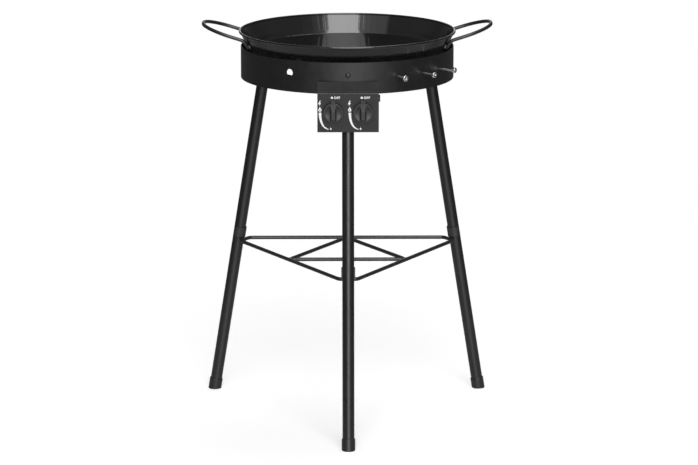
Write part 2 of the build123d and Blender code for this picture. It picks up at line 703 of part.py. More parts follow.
def make_bonnet(side):
    """Front cover of the tap; its neck passes through the panel and holds the spindle's collar."""
    x = tap_x(side)
    rear_y = PANEL_REAR_Y + BONNET_FLANGE_T
    bonnet = along_y(TAP_BARREL_D / 2, x, TAP_Z, PANEL_REAR_Y + FACE_GAP, rear_y)
    bonnet += along_y(BONNET_NECK_D / 2, x, TAP_Z, neck_front_y(), rear_y)
    room_r = SPINDLE_COLLAR_D / 2 + SLIP_GAP
    bonnet -= along_y(room_r, x, TAP_Z, neck_front_y() + BONNET_FRONT_T, rear_y)
    return bonnet - along_y(SPINDLE_D / 2 + RUNNING_GAP, x, TAP_Z, neck_front_y(), rear_y)


def make_bonnet_nut(side):
    """Nut that clamps the panel to the tap's neck."""
    x = tap_x(side)
    face_y = PANEL_FRONT_Y - FACE_GAP
    nut = hexagon(BONNET_NUT_AF, BONNET_NUT_T, Plane(origin=(x, face_y, TAP_Z), z_dir=(0, -1, 0)))
    return nut - along_y(BONNET_NECK_D / 2 + RUNNING_GAP, x, TAP_Z, face_y - BONNET_NUT_T, face_y)


def make_jet(side):
    """Brass jet screwed into the outlet boss."""
    x = tap_x(side)
    face_y = BOSS_END_Y + FACE_GAP
    hex_plane = Plane(origin=(x, face_y, TAP_Z), z_dir=(0, 1, 0))
    jet = hexagon(JET_HEX_AF, JET_HEX_T, hex_plane)
    jet += along_y(JET_THREAD_D / 2, x, TAP_Z, BOSS_END_Y - JET_THREAD_L + SLIP_GAP, face_y)
    tip_plane = Plane(origin=(x, face_y + JET_HEX_T, TAP_Z), z_dir=(0, 1, 0))
    jet += Solid.make_cone(JET_TIP_D / 2, JET_TIP_D / 4, JET_TIP_L, tip_plane)
    return jet - along_y(JET_HOLE_D / 2, x, TAP_Z, BOSS_END_Y - JET_THREAD_L, BOSS_END_Y + FEED_TUBE_D)


def make_plug(side):
    """Taper plug that turns in the tap body, with a bore for the spindle and a gas way."""
    x = tap_x(side)
    front_y = plug_front_y()
    plug = plug_taper(0, 0, 0, x)
    plug -= along_y(SPINDLE_D / 2 + RUNNING_GAP, x, TAP_Z, front_y, front_y + PLUG_SOCKET_L)
    gas_y = front_y + PLUG_L - TAP_BORE_D
    plug -= along_y(TAP_BORE_D / 2, x, TAP_Z, gas_y - TAP_BORE_D / 2, front_y + PLUG_L)
    return plug - rod(SPIGOT_BORE_D / 2, (x, gas_y, TAP_Z), (x, gas_y, TAP_Z + PLUG_FRONT_D))


def collar_front_y():
    """Front face of the spindle's collar, against the inside of the neck."""
    return neck_front_y() + BONNET_FRONT_T + FACE_GAP


def make_spindle(side):
    """Shaft between knob and plug, with the collar that the spring pushes on."""
    x = tap_x(side)
    tail_y = plug_front_y() + PLUG_SOCKET_L - PUSH_TRAVEL - PUSH_SPARE
    shaft = along_y(SPINDLE_D / 2, x, TAP_Z, knob_face_y() + KNOB_WALL, tail_y)
    collar_y = (collar_front_y(), collar_front_y() + SPINDLE_COLLAR_T)
    return shaft + along_y(SPINDLE_COLLAR_D / 2, x, TAP_Z, *collar_y)


def make_spring(side):
    """Return spring round the spindle, drawn at its pushed-in length."""
    x = tap_x(side)
    start_y = collar_front_y() + SPINDLE_COLLAR_T + FACE_GAP
    end_y = plug_front_y() - PUSH_TRAVEL - SLIP_GAP
    outer_r = SPINDLE_COLLAR_D / 2
    sleeve = along_y(outer_r, x, TAP_Z, start_y, end_y)
    return sleeve - along_y(outer_r - SPRING_WIRE_D, x, TAP_Z, start_y, end_y)


def knob_back_y():
    """Rear edge of the knob's skirt, far enough out to be pushed in."""
    return PANEL_FRONT_Y - PUSH_TRAVEL - PUSH_SPARE


def knob_face_y():
    """Front of the knob's grip bar."""
    return knob_back_y() - KNOB_SKIRT_T - KNOB_GRIP_H


def make_knob(side):
    """Skirted knob with a tapered grip bar between two scoops and a pointer nub at the top."""
    back_y = knob_back_y()
    skirt_y = back_y - KNOB_SKIRT_T
    face_y = knob_face_y()
    knob = along_y(KNOB_D / 2, 0, 0, skirt_y, back_y)
    knob = fillet(knob.faces().sort_by(Axis.Y)[0].edges(), KNOB_EDGE)
    nub_y = (skirt_y + KNOB_EDGE, back_y - KNOB_EDGE)
    knob += block((-KNOB_NUB_W / 2, KNOB_NUB_W / 2), nub_y, (0, KNOB_NUB_R))
    # each scoop is part of a ball, between the grip bar and the round rim
    front = Plane(origin=(0, skirt_y, 0), x_dir=(1, 0, 0), z_dir=(0, -1, 0))
    rim_r = KNOB_D / 2 - KNOB_RIM
    ball_x = (KNOB_SCOOP_INNER + rim_r) / 2
    ball_y = skirt_y - KNOB_SCOOP_R + KNOB_SCOOP_DEPTH
    for flank in (-1, 1):
        beside = Pos(flank * (KNOB_SCOOP_INNER + rim_r), 0) * Rectangle(2 * rim_r, 2 * rim_r)
        leaf = extrude(front * (Circle(rim_r) & beside), KNOB_SCOOP_DEPTH, both=True)
        knob -= leaf & (Pos(flank * ball_x, ball_y, 0) * Sphere(KNOB_SCOOP_R))

    def bar_end(y, z, width, length):
        plane = Plane(origin=(0, y, z), x_dir=(1, 0, 0), z_dir=(0, -1, 0))
        return plane * RectangleRounded(width, length, KNOB_GRIP_ROUND)

    root = bar_end(skirt_y + KNOB_EDGE, 0, KNOB_GRIP_W, KNOB_GRIP_L)
    grip = loft([root, bar_end(face_y, -KNOB_GRIP_DROP, KNOB_GRIP_TOP_W, KNOB_GRIP_TOP_L)])
    knob += fillet(grip.faces().sort_by(Axis.Y)[0].edges(), KNOB_EDGE)
    hollow_r = BONNET_NUT_AF / sqrt(3) + KNOB_NUT_ROOM
    hollow_y = neck_front_y() - PUSH_TRAVEL - PUSH_SPARE
    knob -= along_y(hollow_r, 0, 0, hollow_y, back_y)
    knob -= along_y(SPINDLE_D / 2 + RUNNING_GAP, 0, 0, face_y + KNOB_WALL - FACE_GAP, back_y)
    return Pos(tap_x(side), 0, TAP_Z) * knob


# Ignition
def make_igniter(side):
    """Piezo igniter under the tap, with a nose at its rear for the lead."""
    x = tap_x(side)
    front_y = PANEL_REAR_Y + IGNITER_SETBACK
    rear_y = front_y + IGNITER_L
    case = along_y(IGNITER_D / 2, x, igniter_z(), front_y, rear_y)
    case = chamfer(case.edges().filter_by(GeomType.CIRCLE), KNOB_EDGE)
    nose_y = (rear_y - KNOB_EDGE, rear_y + IGNITER_CAP_L)
    return case + along_y(IGNITER_CAP_D / 2, x, igniter_z(), *nose_y)


def electrode_bottom_z():
    """Lower end of the ceramic, where its lead comes in."""
    return RING_Z - ELECTRODE_BELOW


def make_electrode(side):
    """Ceramic rod through the strip, with a collar that rests on it."""
    x = side * ELECTRODE_X
    top_z = RING_Z + ELECTRODE_ABOVE
    body = rod(ELECTRODE_D / 2, (x, -ELECTRODE_R, electrode_bottom_z()), (x, -ELECTRODE_R, top_z))
    collar_z = RING_Z + FACE_GAP
    collar_top = (x, -ELECTRODE_R, collar_z + ELECTRODE_COLLAR_T)
    body += rod(ELECTRODE_COLLAR_D / 2, (x, -ELECTRODE_R, collar_z), collar_top)
    bore_start = (x, -ELECTRODE_R, top_z - TIP_ROOT)
    return body - rod(TIP_D / 2 + FACE_GAP, bore_start, (x, -ELECTRODE_R, top_z))


def make_electrode_tip(side, aim_y):
    """Spark pin out of the ceramic, bent towards its ring."""
    x = side * ELECTRODE_X
    root_z = RING_Z + ELECTRODE_ABOVE - TIP_ROOT + FACE_GAP
    tip_z = RING_TOP_Z + SPARK_LIFT + TIP_BEND_R
    points = [(x, -ELECTRODE_R, root_z), (x, -ELECTRODE_R, tip_z), (x, aim_y, tip_z)]
    return round_bar(bent_path(points, [TIP_BEND_R]), TIP_D / 2)


def make_strip():
    """Strip under the front pan support that holds both electrodes."""
    half = STRIP_LENGTH / 2
    y_range = (-ELECTRODE_R - STRIP_WIDTH / 2, -ELECTRODE_R + STRIP_WIDTH / 2)
    strip = block((-half, half), y_range, (RING_Z - STRIP_SHEET, RING_Z))
    for side in TAP_SIDES.values():
        x = side * ELECTRODE_X
        low, high = (x, -ELECTRODE_R, RING_Z - STRIP_SHEET), (x, -ELECTRODE_R, RING_Z)
        strip -= rod(ELECTRODE_D / 2 + WELD_GAP, low, high)
    return strip


def make_lead(side):
    """Insulated lead from the igniter, under the feed tube, up into the ceramic."""
    start_y = PANEL_REAR_Y + IGNITER_SETBACK + IGNITER_L + IGNITER_CAP_L + FACE_GAP
    start_x, end_x = tap_x(side), side * ELECTRODE_X
    end_z = electrode_bottom_z() - FACE_GAP
    points = [
        (start_x, start_y, igniter_z()),
        (start_x, start_y + LEAD_STRAIGHT, igniter_z()),
        ((start_x + end_x) / 2, -ELECTRODE_R - LEAD_SWEEP, igniter_z()),
        (end_x, -ELECTRODE_R, end_z - LEAD_RISE),
        (end_x, -ELECTRODE_R, end_z),
    ]
    spots = [Vector(*point) for point in points]
    radii = []
    for before, corner, after in zip(spots, spots[1:], spots[2:]):
        shorter = min((corner - before).length, (after - corner).length)
        turn = radians((corner - before).get_angle(after - corner))
        radii.append(LEAD_EASE * shorter / tan(turn / 2))
    return round_bar(bent_path(points, radii), LEAD_D / 2)


# All pieces, by the name of their node
def make_nodes():
    nodes = {"pan": make_pan(), "wind_shield": make_shield(), "control_panel": make_panel()}
    for name, side in TAP_SIDES.items():
        nodes[f"pan_handle_{name}"] = make_handle(side)
    at_front = {
        "leg": make_leg(),
        "foot_cap": make_foot_cap(),
        "leg_socket": make_socket(),
        "brace_clip": make_brace_clip(),
        "pan_support": make_support(),
    }
    for piece, shape in at_front.items():
        for name, angle in LEG_ANGLES.items():
            nodes[f"{piece}_{name}"] = round_wall(angle) * shape
    leg_bolt, leg_nut = make_leg_bolt(), make_leg_nut()
    nodes["leg_bolts"] = group(round_wall(angle) * leg_bolt for angle in LEG_ANGLES.values())
    nodes["leg_nuts"] = group(round_wall(angle) * leg_nut for angle in LEG_ANGLES.values())
    nodes["tool_pegs"] = group(make_peg(angle) for angle in PEG_ANGLES)
    nodes["tool_peg_nuts"] = group(make_peg_nut(angle) for angle in PEG_ANGLES)
    nodes["brace_outer_wire"] = make_brace_outer()
    nodes["brace_inner_wire"] = make_brace_inner()
    left_x, right_x = tap_x(-1), tap_x(1)
    outer_y, inner_y = feed_y(RING_OUTER_R, 1), feed_y(RING_INNER_R, -1)
    nodes["burner_ring_outer"] = make_ring(RING_OUTER_R, left_x, outer_y)
    nodes["burner_ring_inner"] = make_ring(RING_INNER_R, right_x, inner_y)
    nodes["feed_tube_outer"] = make_feed_tube(RING_OUTER_R, left_x, outer_y)
    nodes["feed_tube_inner"] = make_feed_tube(RING_INNER_R, right_x, inner_y)
    nodes["gas_manifold"] = make_manifold()
    nodes["panel_nuts"] = group(make_panel_nut(side) for side in TAP_SIDES.values())
    nodes["bonnet_nuts"] = group(make_bonnet_nut(side) for side in TAP_SIDES.values())
    nodes["gas_jets"] = group(make_jet(side) for side in TAP_SIDES.values())
    nodes["electrode_bracket"] = make_strip()
    spark_y = {
        "left": -RING_OUTER_R + RING_TUBE_D / 2 + SPARK_GAP,
        "right": -RING_INNER_R - RING_TUBE_D / 2 - SPARK_GAP,
    }
    for name, side in TAP_SIDES.items():
        nodes[f"valve_body_{name}"] = make_valve_body(side)
        nodes[f"valve_bonnet_{name}"] = make_bonnet(side)
        nodes[f"valve_plug_{name}"] = make_plug(side)
        nodes[f"valve_spindle_{name}"] = make_spindle(side)
        nodes[f"return_spring_{name}"] = make_spring(side)
        nodes[f"knob_{name}"] = make_knob(side)
        nodes[f"igniter_{name}"] = make_igniter(side)
        nodes[f"ignition_lead_{name}"] = make_lead(side)
        nodes[f"electrode_{name}"] = make_electrode(side)
        nodes[f"electrode_tip_{name}"] = make_electrode_tip(side, spark_y[name])
    return nodes


os.makedirs("parts", exist_ok=True)
for node, shape in make_nodes().items():
    export_step(Pos(0, AXIS_Y, 0) * shape, f"parts/{node}.step")
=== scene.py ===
"""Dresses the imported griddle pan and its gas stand, and sets them in a plain studio."""

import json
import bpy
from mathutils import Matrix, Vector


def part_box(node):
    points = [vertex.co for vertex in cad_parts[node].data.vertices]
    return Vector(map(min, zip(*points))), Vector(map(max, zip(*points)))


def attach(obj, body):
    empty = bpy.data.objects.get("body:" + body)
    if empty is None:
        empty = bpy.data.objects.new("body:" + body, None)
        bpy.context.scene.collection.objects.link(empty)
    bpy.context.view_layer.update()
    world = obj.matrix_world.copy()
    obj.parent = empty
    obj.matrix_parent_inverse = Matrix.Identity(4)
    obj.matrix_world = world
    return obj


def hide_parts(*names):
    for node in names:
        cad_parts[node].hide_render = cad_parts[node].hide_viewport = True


bl_info = {
    "name": "Griddle Pan on a Gas Stand",
    "version": (1, 0, 0),
    "blender": (4, 5, 0),
    "location": "View3D > Sidebar > Griddle",
    "description": "Adds finishes, welds, print and small parts to the packed griddle pan and its gas stand",
    "category": "Object",
}

from math import asin, atan2, cos, pi, radians, sin, sqrt, tan

import bmesh
import bpy
from mathutils import Matrix, Vector

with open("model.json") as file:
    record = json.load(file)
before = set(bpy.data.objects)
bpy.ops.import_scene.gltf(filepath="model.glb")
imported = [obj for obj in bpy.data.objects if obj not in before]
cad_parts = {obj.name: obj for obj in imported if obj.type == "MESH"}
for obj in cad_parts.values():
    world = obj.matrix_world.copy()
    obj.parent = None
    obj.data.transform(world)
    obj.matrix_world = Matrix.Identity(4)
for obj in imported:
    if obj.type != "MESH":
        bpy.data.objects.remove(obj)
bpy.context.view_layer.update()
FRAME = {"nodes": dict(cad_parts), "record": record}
NODES = FRAME["nodes"]
MM = 0.001
SIDES = {"left": -1, "right": 1}

# Sizes that the pieces share with the solids, in metres
SHIELD_LOW, SHIELD_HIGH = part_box("wind_shield")
AXIS_Y = (SHIELD_LOW.y + SHIELD_HIGH.y) / 2
SHIELD_R = (SHIELD_HIGH.x - SHIELD_LOW.x) / 2
PAN_LOW, PAN_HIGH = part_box("pan")
PAN_RIM_R = (PAN_HIGH.x - PAN_LOW.x) / 2
PAN_RIM_Z = PAN_HIGH.z
PAN_BOTTOM_Z = PAN_LOW.z
PAN_BASE_R = 208.5 * MM
BEAD_R = 2.5 * MM
PAN_DRAFT = atan2(PAN_RIM_R - BEAD_R - PAN_BASE_R, PAN_RIM_Z - BEAD_R - PAN_BOTTOM_Z)
HANDLE_UNDER_BEAD = 4.8 * MM
HANDLE_TAIL = 16.5 * MM
HANDLE_ROOT_BEND = 22.0 * MM
HANDLE_TIP_BEND = 62.0 * MM
TAP_X = 30.75 * MM
TAP_Z = 695.0 * MM
PANEL_FACE_Y = AXIS_Y - 236.4 * MM
PANEL_LEDGE_Z = 735.3 * MM
RING_Z = 741.0 * MM
RING_RADII = {"outer": 160.0 * MM, "inner": 75.0 * MM}
RING_TUBE_R = 9.0 * MM
IGNITER_DROP = 18.55 * MM
IGNITER_BACK_Y = -187.85 * MM
ELECTRODE_X, ELECTRODE_Y, ELECTRODE_FOOT_Z = 14.0 * MM, -118.0 * MM, 714.95 * MM
LEAD_R = 1.5 * MM
LEAD_STRAIGHT, LEAD_SWING, LEAD_RISE = 20.0 * MM, 20.0 * MM, 30.0 * MM
LEG_TOP_R = 203.3 * MM
LEG_FLOOR_R = 337.0 * MM
LEG_RISE = 730.0 * MM
LEG_R = 12.5 * MM
LEG_ANGLES = {"front": 0.0, "right": radians(120), "left": radians(240)}
LEAN = atan2(LEG_FLOOR_R - LEG_TOP_R, LEG_RISE)
BRACE_LOW, BRACE_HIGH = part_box("brace_outer_wire")
BRACE_Z = (BRACE_LOW.z + BRACE_HIGH.z) / 2
BRACE_WIRE_R = (BRACE_HIGH.z - BRACE_LOW.z) / 2
BRACE_HALF_FLAT = 19.0 * MM
BRACE_BENDS = {"outer": 12.0 * MM, "inner": 6.0 * MM}
WELD_GAP = 0.1 * MM

# Sizes that only the scene has
PORT_TILT = radians(38)
PORT_DEPTH = 0.3 * MM
SPRING_WIRE_R = 0.7 * MM
SPRING_TURNS = 3.2
# a handle's weld, in shares of the wire's radius and of the length that lies on the pan
HANDLE_WELD_IN, HANDLE_WELD_ASIDE, HANDLE_WELD_ENDS = 0.92, 0.55, (0.08, 0.46)
BRACE_WELD_R, BRACE_WELD_HALF, BRACE_WELD_RISE = 1.5 * MM, 5.0 * MM, 1.9 * MM
SUPPORT_WELD_R, SUPPORT_WELD_ASIDE, SUPPORT_WELD_STEP = 1.1 * MM, 2.6 * MM, radians(16)
# depths in the pan's sheet at which the duller enamel of the outside starts and is full
OUTSIDE_START, OUTSIDE_FULL = 0.9 * MM, 0.4 * MM
STREAK_FADE = 4.0 * MM
# where the flange's duller finish and its painted shade start and are full
FLANGE_START, FLANGE_FULL = PANEL_LEDGE_Z + 0.5 * MM, PANEL_LEDGE_Z + 1.5 * MM
# length of a peg's shank, out from the shield, over which its painted shade fades out
PEG_SHADE_LENGTH = 15.0 * MM


def at(x, y, z):
    """A point given from the pan's upright axis, in the row frame."""
    return Vector((x, y + AXIS_Y, z))


def turned(point, angle):
    """A point given from the pan's axis at the front, turned round that axis."""
    x, y, z = point
    return at(x * cos(angle) - y * sin(angle), x * sin(angle) + y * cos(angle), z)


# Settings that a user would change
class PanSettings(bpy.types.PropertyGroup):
    """Enamel of the pan and the wire of its handles."""

    enamel: bpy.props.FloatVectorProperty(
        name="Enamel", description="Colour of the pan's enamel", subtype="COLOR", size=3,
        default=(0.004, 0.004, 0.0045), min=0, max=1,
    )
    handle_wire: bpy.props.FloatProperty(
        name="Handle wire", description="Radius of the handle wire", unit="LENGTH", default=3.75 * MM,
    )
    handle_width: bpy.props.FloatProperty(
        name="Handle width", description="Width between the two legs of a handle, at the middle of the wire",
        unit="LENGTH", default=137.0 * MM,
    )
    handle_reach: bpy.props.FloatProperty(
        name="Handle reach", description="From the pan's axis to the outside of a handle", unit="LENGTH",
        default=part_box("pan_handle_right")[1].x,
    )
    handle_rise: bpy.props.FloatProperty(
        name="Handle rise", description="Slope of the handles", subtype="ANGLE", default=radians(17.5),
    )


class StandSettings(bpy.types.PropertyGroup):
    """Coats of the stand, the drilling of its burner and the size of the handles' welds."""

    coat: bpy.props.FloatVectorProperty(
        name="Coat", description="Colour of the coat on the sheet and the tubes", subtype="COLOR", size=3,
        default=(0.0085, 0.0085, 0.009), min=0, max=1,
    )
    heat_coat: bpy.props.FloatVectorProperty(
        name="Heat coat", description="Colour of the heat proof coat on the burner", subtype="COLOR", size=3,
        default=(0.03, 0.029, 0.028), min=0, max=1,
    )
    ports_outer: bpy.props.IntProperty(
        name="Outer ports", description="Flame ports round the outer ring", default=72, min=3,
    )
    ports_inner: bpy.props.IntProperty(
        name="Inner ports", description="Flame ports round the inner ring", default=36, min=3,
    )
    port_radius: bpy.props.FloatProperty(
        name="Port radius", description="Radius of a flame port", unit="LENGTH", default=1.1 * MM,
    )
    weld_radius: bpy.props.FloatProperty(
        name="Weld radius", description="Half width of a handle's weld bead", unit="LENGTH", default=1.7 * MM,
    )


class PrintSettings(bpy.types.PropertyGroup):
    """Print on the control panel."""

    ink: bpy.props.FloatVectorProperty(
        name="Ink", description="Colour of the print", subtype="COLOR", size=3,
        default=(0.93, 0.93, 0.93), min=0, max=1,
    )
    ink_thickness: bpy.props.FloatProperty(
        name="Ink thickness", description="How far the print stands off the sheet", unit="LENGTH",
        default=0.06 * MM,
    )
    letter_height: bpy.props.FloatProperty(
        name="Letter height", description="Height of the capitals", unit="LENGTH", default=4.9 * MM,
    )


class StudioSettings(bpy.types.PropertyGroup):
    """Camera and floor."""

    distance: bpy.props.FloatProperty(
        name="Distance", description="From the camera to the pan's axis, over the floor", unit="LENGTH",
        default=7.3624,
    )
    height: bpy.props.FloatProperty(
        name="Height", description="Height of the camera", unit="LENGTH", default=2.012,
    )
    pitch: bpy.props.FloatProperty(
        name="Pitch", description="How far the camera looks down", subtype="ANGLE", default=0.217,
    )
    yaw: bpy.props.FloatProperty(
        name="Yaw", description="How far the camera stands to the left", subtype="ANGLE", default=0.008,
    )
    lens: bpy.props.FloatProperty(
        name="Lens", description="Focal length on a 36 mm sensor", default=181.21,
    )
    shift: bpy.props.FloatProperty(
        name="Shift", description="Sideways shift of the frame", default=0.0026,
    )
    floor: bpy.props.FloatVectorProperty(
        name="Floor", description="Colour of the floor", subtype="COLOR", size=3, default=(0.68, 0.68, 0.68),
        min=0, max=1,
    )


SETTINGS = {
    "griddle_pan": PanSettings,
    "griddle_stand": StandSettings,
    "griddle_print": PrintSettings,
    "griddle_studio": StudioSettings,
}


class Wiring:
    """A node tree with short ways to add to it."""

    def __init__(self, tree):
        self.tree = tree

    def node(self, kind, inputs=None, **settings):
        """A node whose inputs are plain values or other nodes' results."""
        made = self.tree.nodes.new(kind)
        for key, value in settings.items():
            setattr(made, key, value)
        for key, value in (inputs or {}).items():
            if isinstance(value, bpy.types.NodeSocket):
                self.tree.links.new(value, made.inputs[key])
            else:
                made.inputs[key].default_value = value
        return made

    def math(self, operation, *values):
        return self.node("ShaderNodeMath", dict(enumerate(values)), operation=operation).outputs[0]

    def vector_math(self, operation, *values):
        return self.node("ShaderNodeVectorMath", dict(enumerate(values)), operation=operation).outputs

    def split(self, vector):
        return self.node("ShaderNodeSeparateXYZ", {0: vector}).outputs

    def ranged(self, value, start, end, low=0.0, high=1.0, kind="LINEAR"):
        """A value carried from one range to another, and held at the ends."""
        inputs = {"Value": value, "From Min": start, "From Max": end, "To Min": low, "To Max": high}
        return self.node("ShaderNodeMapRange", inputs, interpolation_type=kind).outputs["Result"]


# Materials
MATERIALS = {}
# places of the colour sockets on a Mix node
MIX_FACTOR, MIX_LOW, MIX_HIGH, MIX_RESULT = 0, 6, 7, 2


class Finish(Wiring):
    """A material with one surface shader."""

    def __init__(self, name, colour, roughness, metallic=0.0):
        self.material = bpy.data.materials.new(name)
        self.material.use_nodes = True
        super().__init__(self.material.node_tree)
        self.shader = self.tree.nodes["Principled BSDF"]
        self.coords = self.node("ShaderNodeTexCoord").outputs["Object"]
        self.set("Base Color", (*colour, 1.0))
        self.set("Roughness", roughness)
        self.set("Metallic", metallic)
        self.colour = colour

    def set(self, socket, value):
        self.shader.inputs[socket].default_value = value

    def link(self, output, socket):
        self.tree.links.new(output, self.shader.inputs[socket])

    def noise(self, scale, detail, coords=None):
        inputs = {"Vector": coords or self.coords, "Scale": scale, "Detail": detail}
        return self.node("ShaderNodeTexNoise", inputs).outputs["Fac"]

    def centred(self):
        """Object coordinates from the pan's upright axis."""
        place = {"Vector": self.coords, "Location": (0.0, -AXIS_Y, 0.0)}
        return self.node("ShaderNodeMapping", place).outputs["Vector"]

    def from_axis(self):
        """The way out from the pan's upright axis, its length, and the height."""
        place = self.centred()
        level = self.vector_math("MULTIPLY", place, (1.0, 1.0, 0.0))[0]
        return level, self.vector_math("LENGTH", level)["Value"], self.split(place)["Z"]

    def outside_pan(self):
        """One on the outside of the pan's sloping wall, zero on its inside and on the rim."""
        _, out, up = self.from_axis()
        across = self.math("MULTIPLY_ADD", up, -sin(PAN_DRAFT), self.math("MULTIPLY", out, cos(PAN_DRAFT)))
        skin = PAN_BASE_R * cos(PAN_DRAFT) - PAN_BOTTOM_Z * sin(PAN_DRAFT)
        outer = self.ranged(across, skin - OUTSIDE_START, skin - OUTSIDE_FULL)
        under_rim = self.math("LESS_THAN", up, PAN_RIM_Z - 2 * BEAD_R)
        return self.math("MULTIPLY", outer, under_rim)

    def wall_streaks(self, scale, detail):
        """Upright streaks round the pan's wall that fade out towards its floor."""
        level, out, _ = self.from_axis()
        streaks = self.noise(scale, detail, self.vector_math("NORMALIZE", level)[0])
        return self.math("MULTIPLY", streaks, self.ranged(out, PAN_BASE_R, PAN_BASE_R + STREAK_FADE))

    def rings(self, scale, distortion):
        """Waves round the pan's upright axis."""
        inputs = {"Vector": self.centred(), "Scale": scale, "Distortion": distortion, "Detail": 2.0}
        made = self.node("ShaderNodeTexWave", inputs, wave_type="RINGS", rings_direction="Z")
        return made.outputs["Fac"]

    def between(self, factor, low, high):
        """A noise carried to a range, from the part of it where most of its values lie."""
        return self.ranged(factor, 0.3, 0.7, low, high)

    def vary_roughness(self, factor, low, high):
        self.link(self.between(factor, low, high), "Roughness")

    def vary_colour(self, factor, other):
        self.mix_colour(self.between(factor, 0.0, 1.0), self.colour, other)

    def mix_colour(self, factor, low, high):
        inputs = {MIX_FACTOR: factor, MIX_LOW: (*low, 1.0), MIX_HIGH: (*high, 1.0)}
        made = self.node("ShaderNodeMix", inputs, data_type="RGBA")
        self.link(made.outputs[MIX_RESULT], "Base Color")

    def bumps(self, *layers):
        """Bump layers, each a height, its strength and its depth in metres."""
        normal = None
        for height, strength, depth in layers:
            inputs = {"Height": height, "Strength": strength, "Distance": depth}
            if normal is not None:
                inputs["Normal"] = normal
            normal = self.node("ShaderNodeBump", inputs).outputs["Normal"]
        self.link(normal, "Normal")


def shade(colour, factor):
    """A lighter or darker tone of a colour."""
    return tuple(factor * part for part in colour)


def uneven(name, colour, roughness, tone, gloss=None, skin=()):
    """A finish that noises make uneven. Each noise is given by its scale and its detail, then
    tone has its other colour, gloss its least and most roughness, and each layer of skin its
    strength and its depth in metres."""
    finish = Finish(name, colour, roughness)
    finish.vary_colour(finish.noise(*tone[:2]), tone[2])
    if gloss:
        finish.vary_roughness(finish.noise(*gloss[:2]), *gloss[2:])
    if skin:
        finish.bumps(*((finish.noise(*layer[:2]), *layer[2:]) for layer in skin))
    return finish.material


def pan_enamel(colour):
    """Glass enamel: deep gloss with orange peel, waves from firing and streaks, duller outside."""
    finish = Finish("pan_enamel", colour, 0.07)
    finish.set("IOR", 1.6)
    gloss = finish.between(finish.noise(9.0, 4.0), 0.07, 0.13)
    outside = finish.outside_pan()
    finish.link(finish.math("MULTIPLY_ADD", outside, 0.13, gloss), "Roughness")
    finish.link(finish.math("MULTIPLY_ADD", outside, -0.14, 0.5), "Specular IOR Level")
    finish.vary_colour(finish.noise(40.0, 5.0), shade(colour, 1.35))
    finish.bumps(
        (finish.rings(60.0, 2.5), 0.05, 0.0003), (finish.noise(6.0, 1.0), 0.1, 0.0012),
        (finish.noise(260.0, 2.0), 0.03, 0.0003), (finish.wall_streaks(14.0, 3.0), 0.5, 0.0016),
    )
    return finish.material


def powder_coat(name, colour, roughness, grain):
    """Baked powder coat: even colour with a fine pebbled skin."""
    return uneven(
        name, colour, roughness, (16.0, 5.0, shade(colour, 1.3)),
        gloss=(55.0, 4.0, roughness - 0.04, roughness + 0.05),
        skin=((grain, 3.0, 0.05, 0.0002), (22.0, 2.0, 0.06, 0.0006)),
    )


def panel_coat(colour):
    """The sheet's coat, dull on the upper flange, where its colour is also darkened as painted shade."""
    finish = Finish("panel_coat", colour, 0.36)
    finish.set("IOR", 1.45)
    flange = finish.ranged(finish.split(finish.coords)["Z"], FLANGE_START, FLANGE_FULL)
    satin = finish.between(finish.noise(55.0, 4.0), 0.32, 0.41)
    finish.link(finish.math("MULTIPLY_ADD", flange, 0.28, satin), "Roughness")
    # on the flange the tone drops to the coat's darkest shade, which is painted shade
    inputs = {0: finish.between(finish.noise(16.0, 5.0), 0.0, 0.3), 1: flange}
    tone = finish.node("ShaderNodeMath", inputs, operation="SUBTRACT", use_clamp=True).outputs[0]
    finish.mix_colour(tone, shade(colour, 0.45), shade(colour, 2.2))
    finish.bumps((finish.noise(1100.0, 3.0), 0.05, 0.0002), (finish.noise(22.0, 2.0), 0.06, 0.0006))
    return finish.material


def moulded(name, colour, roughness, grain):
    """Moulded plastic or rubber with a spark eroded grain."""
    return uneven(
        name, colour, roughness, (60.0, 4.0, shade(colour, 1.4)),
        gloss=(120.0, 3.0, roughness - 0.06, roughness + 0.06), skin=((grain, 2.0, 0.3, 0.0002),),
    )


def bare_metal(name, colour, roughness, stretch, grain):
    """Bare metal with fine lines from turning, drawing or casting."""
    finish = Finish(name, colour, roughness, metallic=1.0)
    along = finish.node("ShaderNodeMapping", {"Vector": finish.coords, "Scale": stretch}).outputs["Vector"]
    lines = finish.noise(grain, 4.0, along)
    finish.vary_roughness(lines, roughness - 0.07, roughness + 0.1)
    finish.vary_colour(finish.noise(90.0, 4.0), shade(colour, 0.82))
    finish.bumps((lines, 0.15, 0.0001))
    return finish.material


def peg_plating(colour):
    """Bright plating with painted shade: darker and duller along the shank next to the shield, standing in
    for the dark shield that it reflects there.
    """
    finish = Finish("peg_plating", colour, 0.2, metallic=1.0)
    _, out, _ = finish.from_axis()
    # painted shade: the colour darkens towards the shield over this length of the shank
    clear = finish.ranged(out, SHIELD_R, SHIELD_R + PEG_SHADE_LENGTH, kind="SMOOTHSTEP")
    worn = finish.between(finish.noise(260.0, 3.0), 0.9, 1.0)
    finish.mix_colour(finish.math("MULTIPLY", clear, worn), shade(colour, 0.25), colour)
    finish.link(finish.ranged(clear, 0.0, 1.0, 0.4, 0.2), "Roughness")
    return finish.material


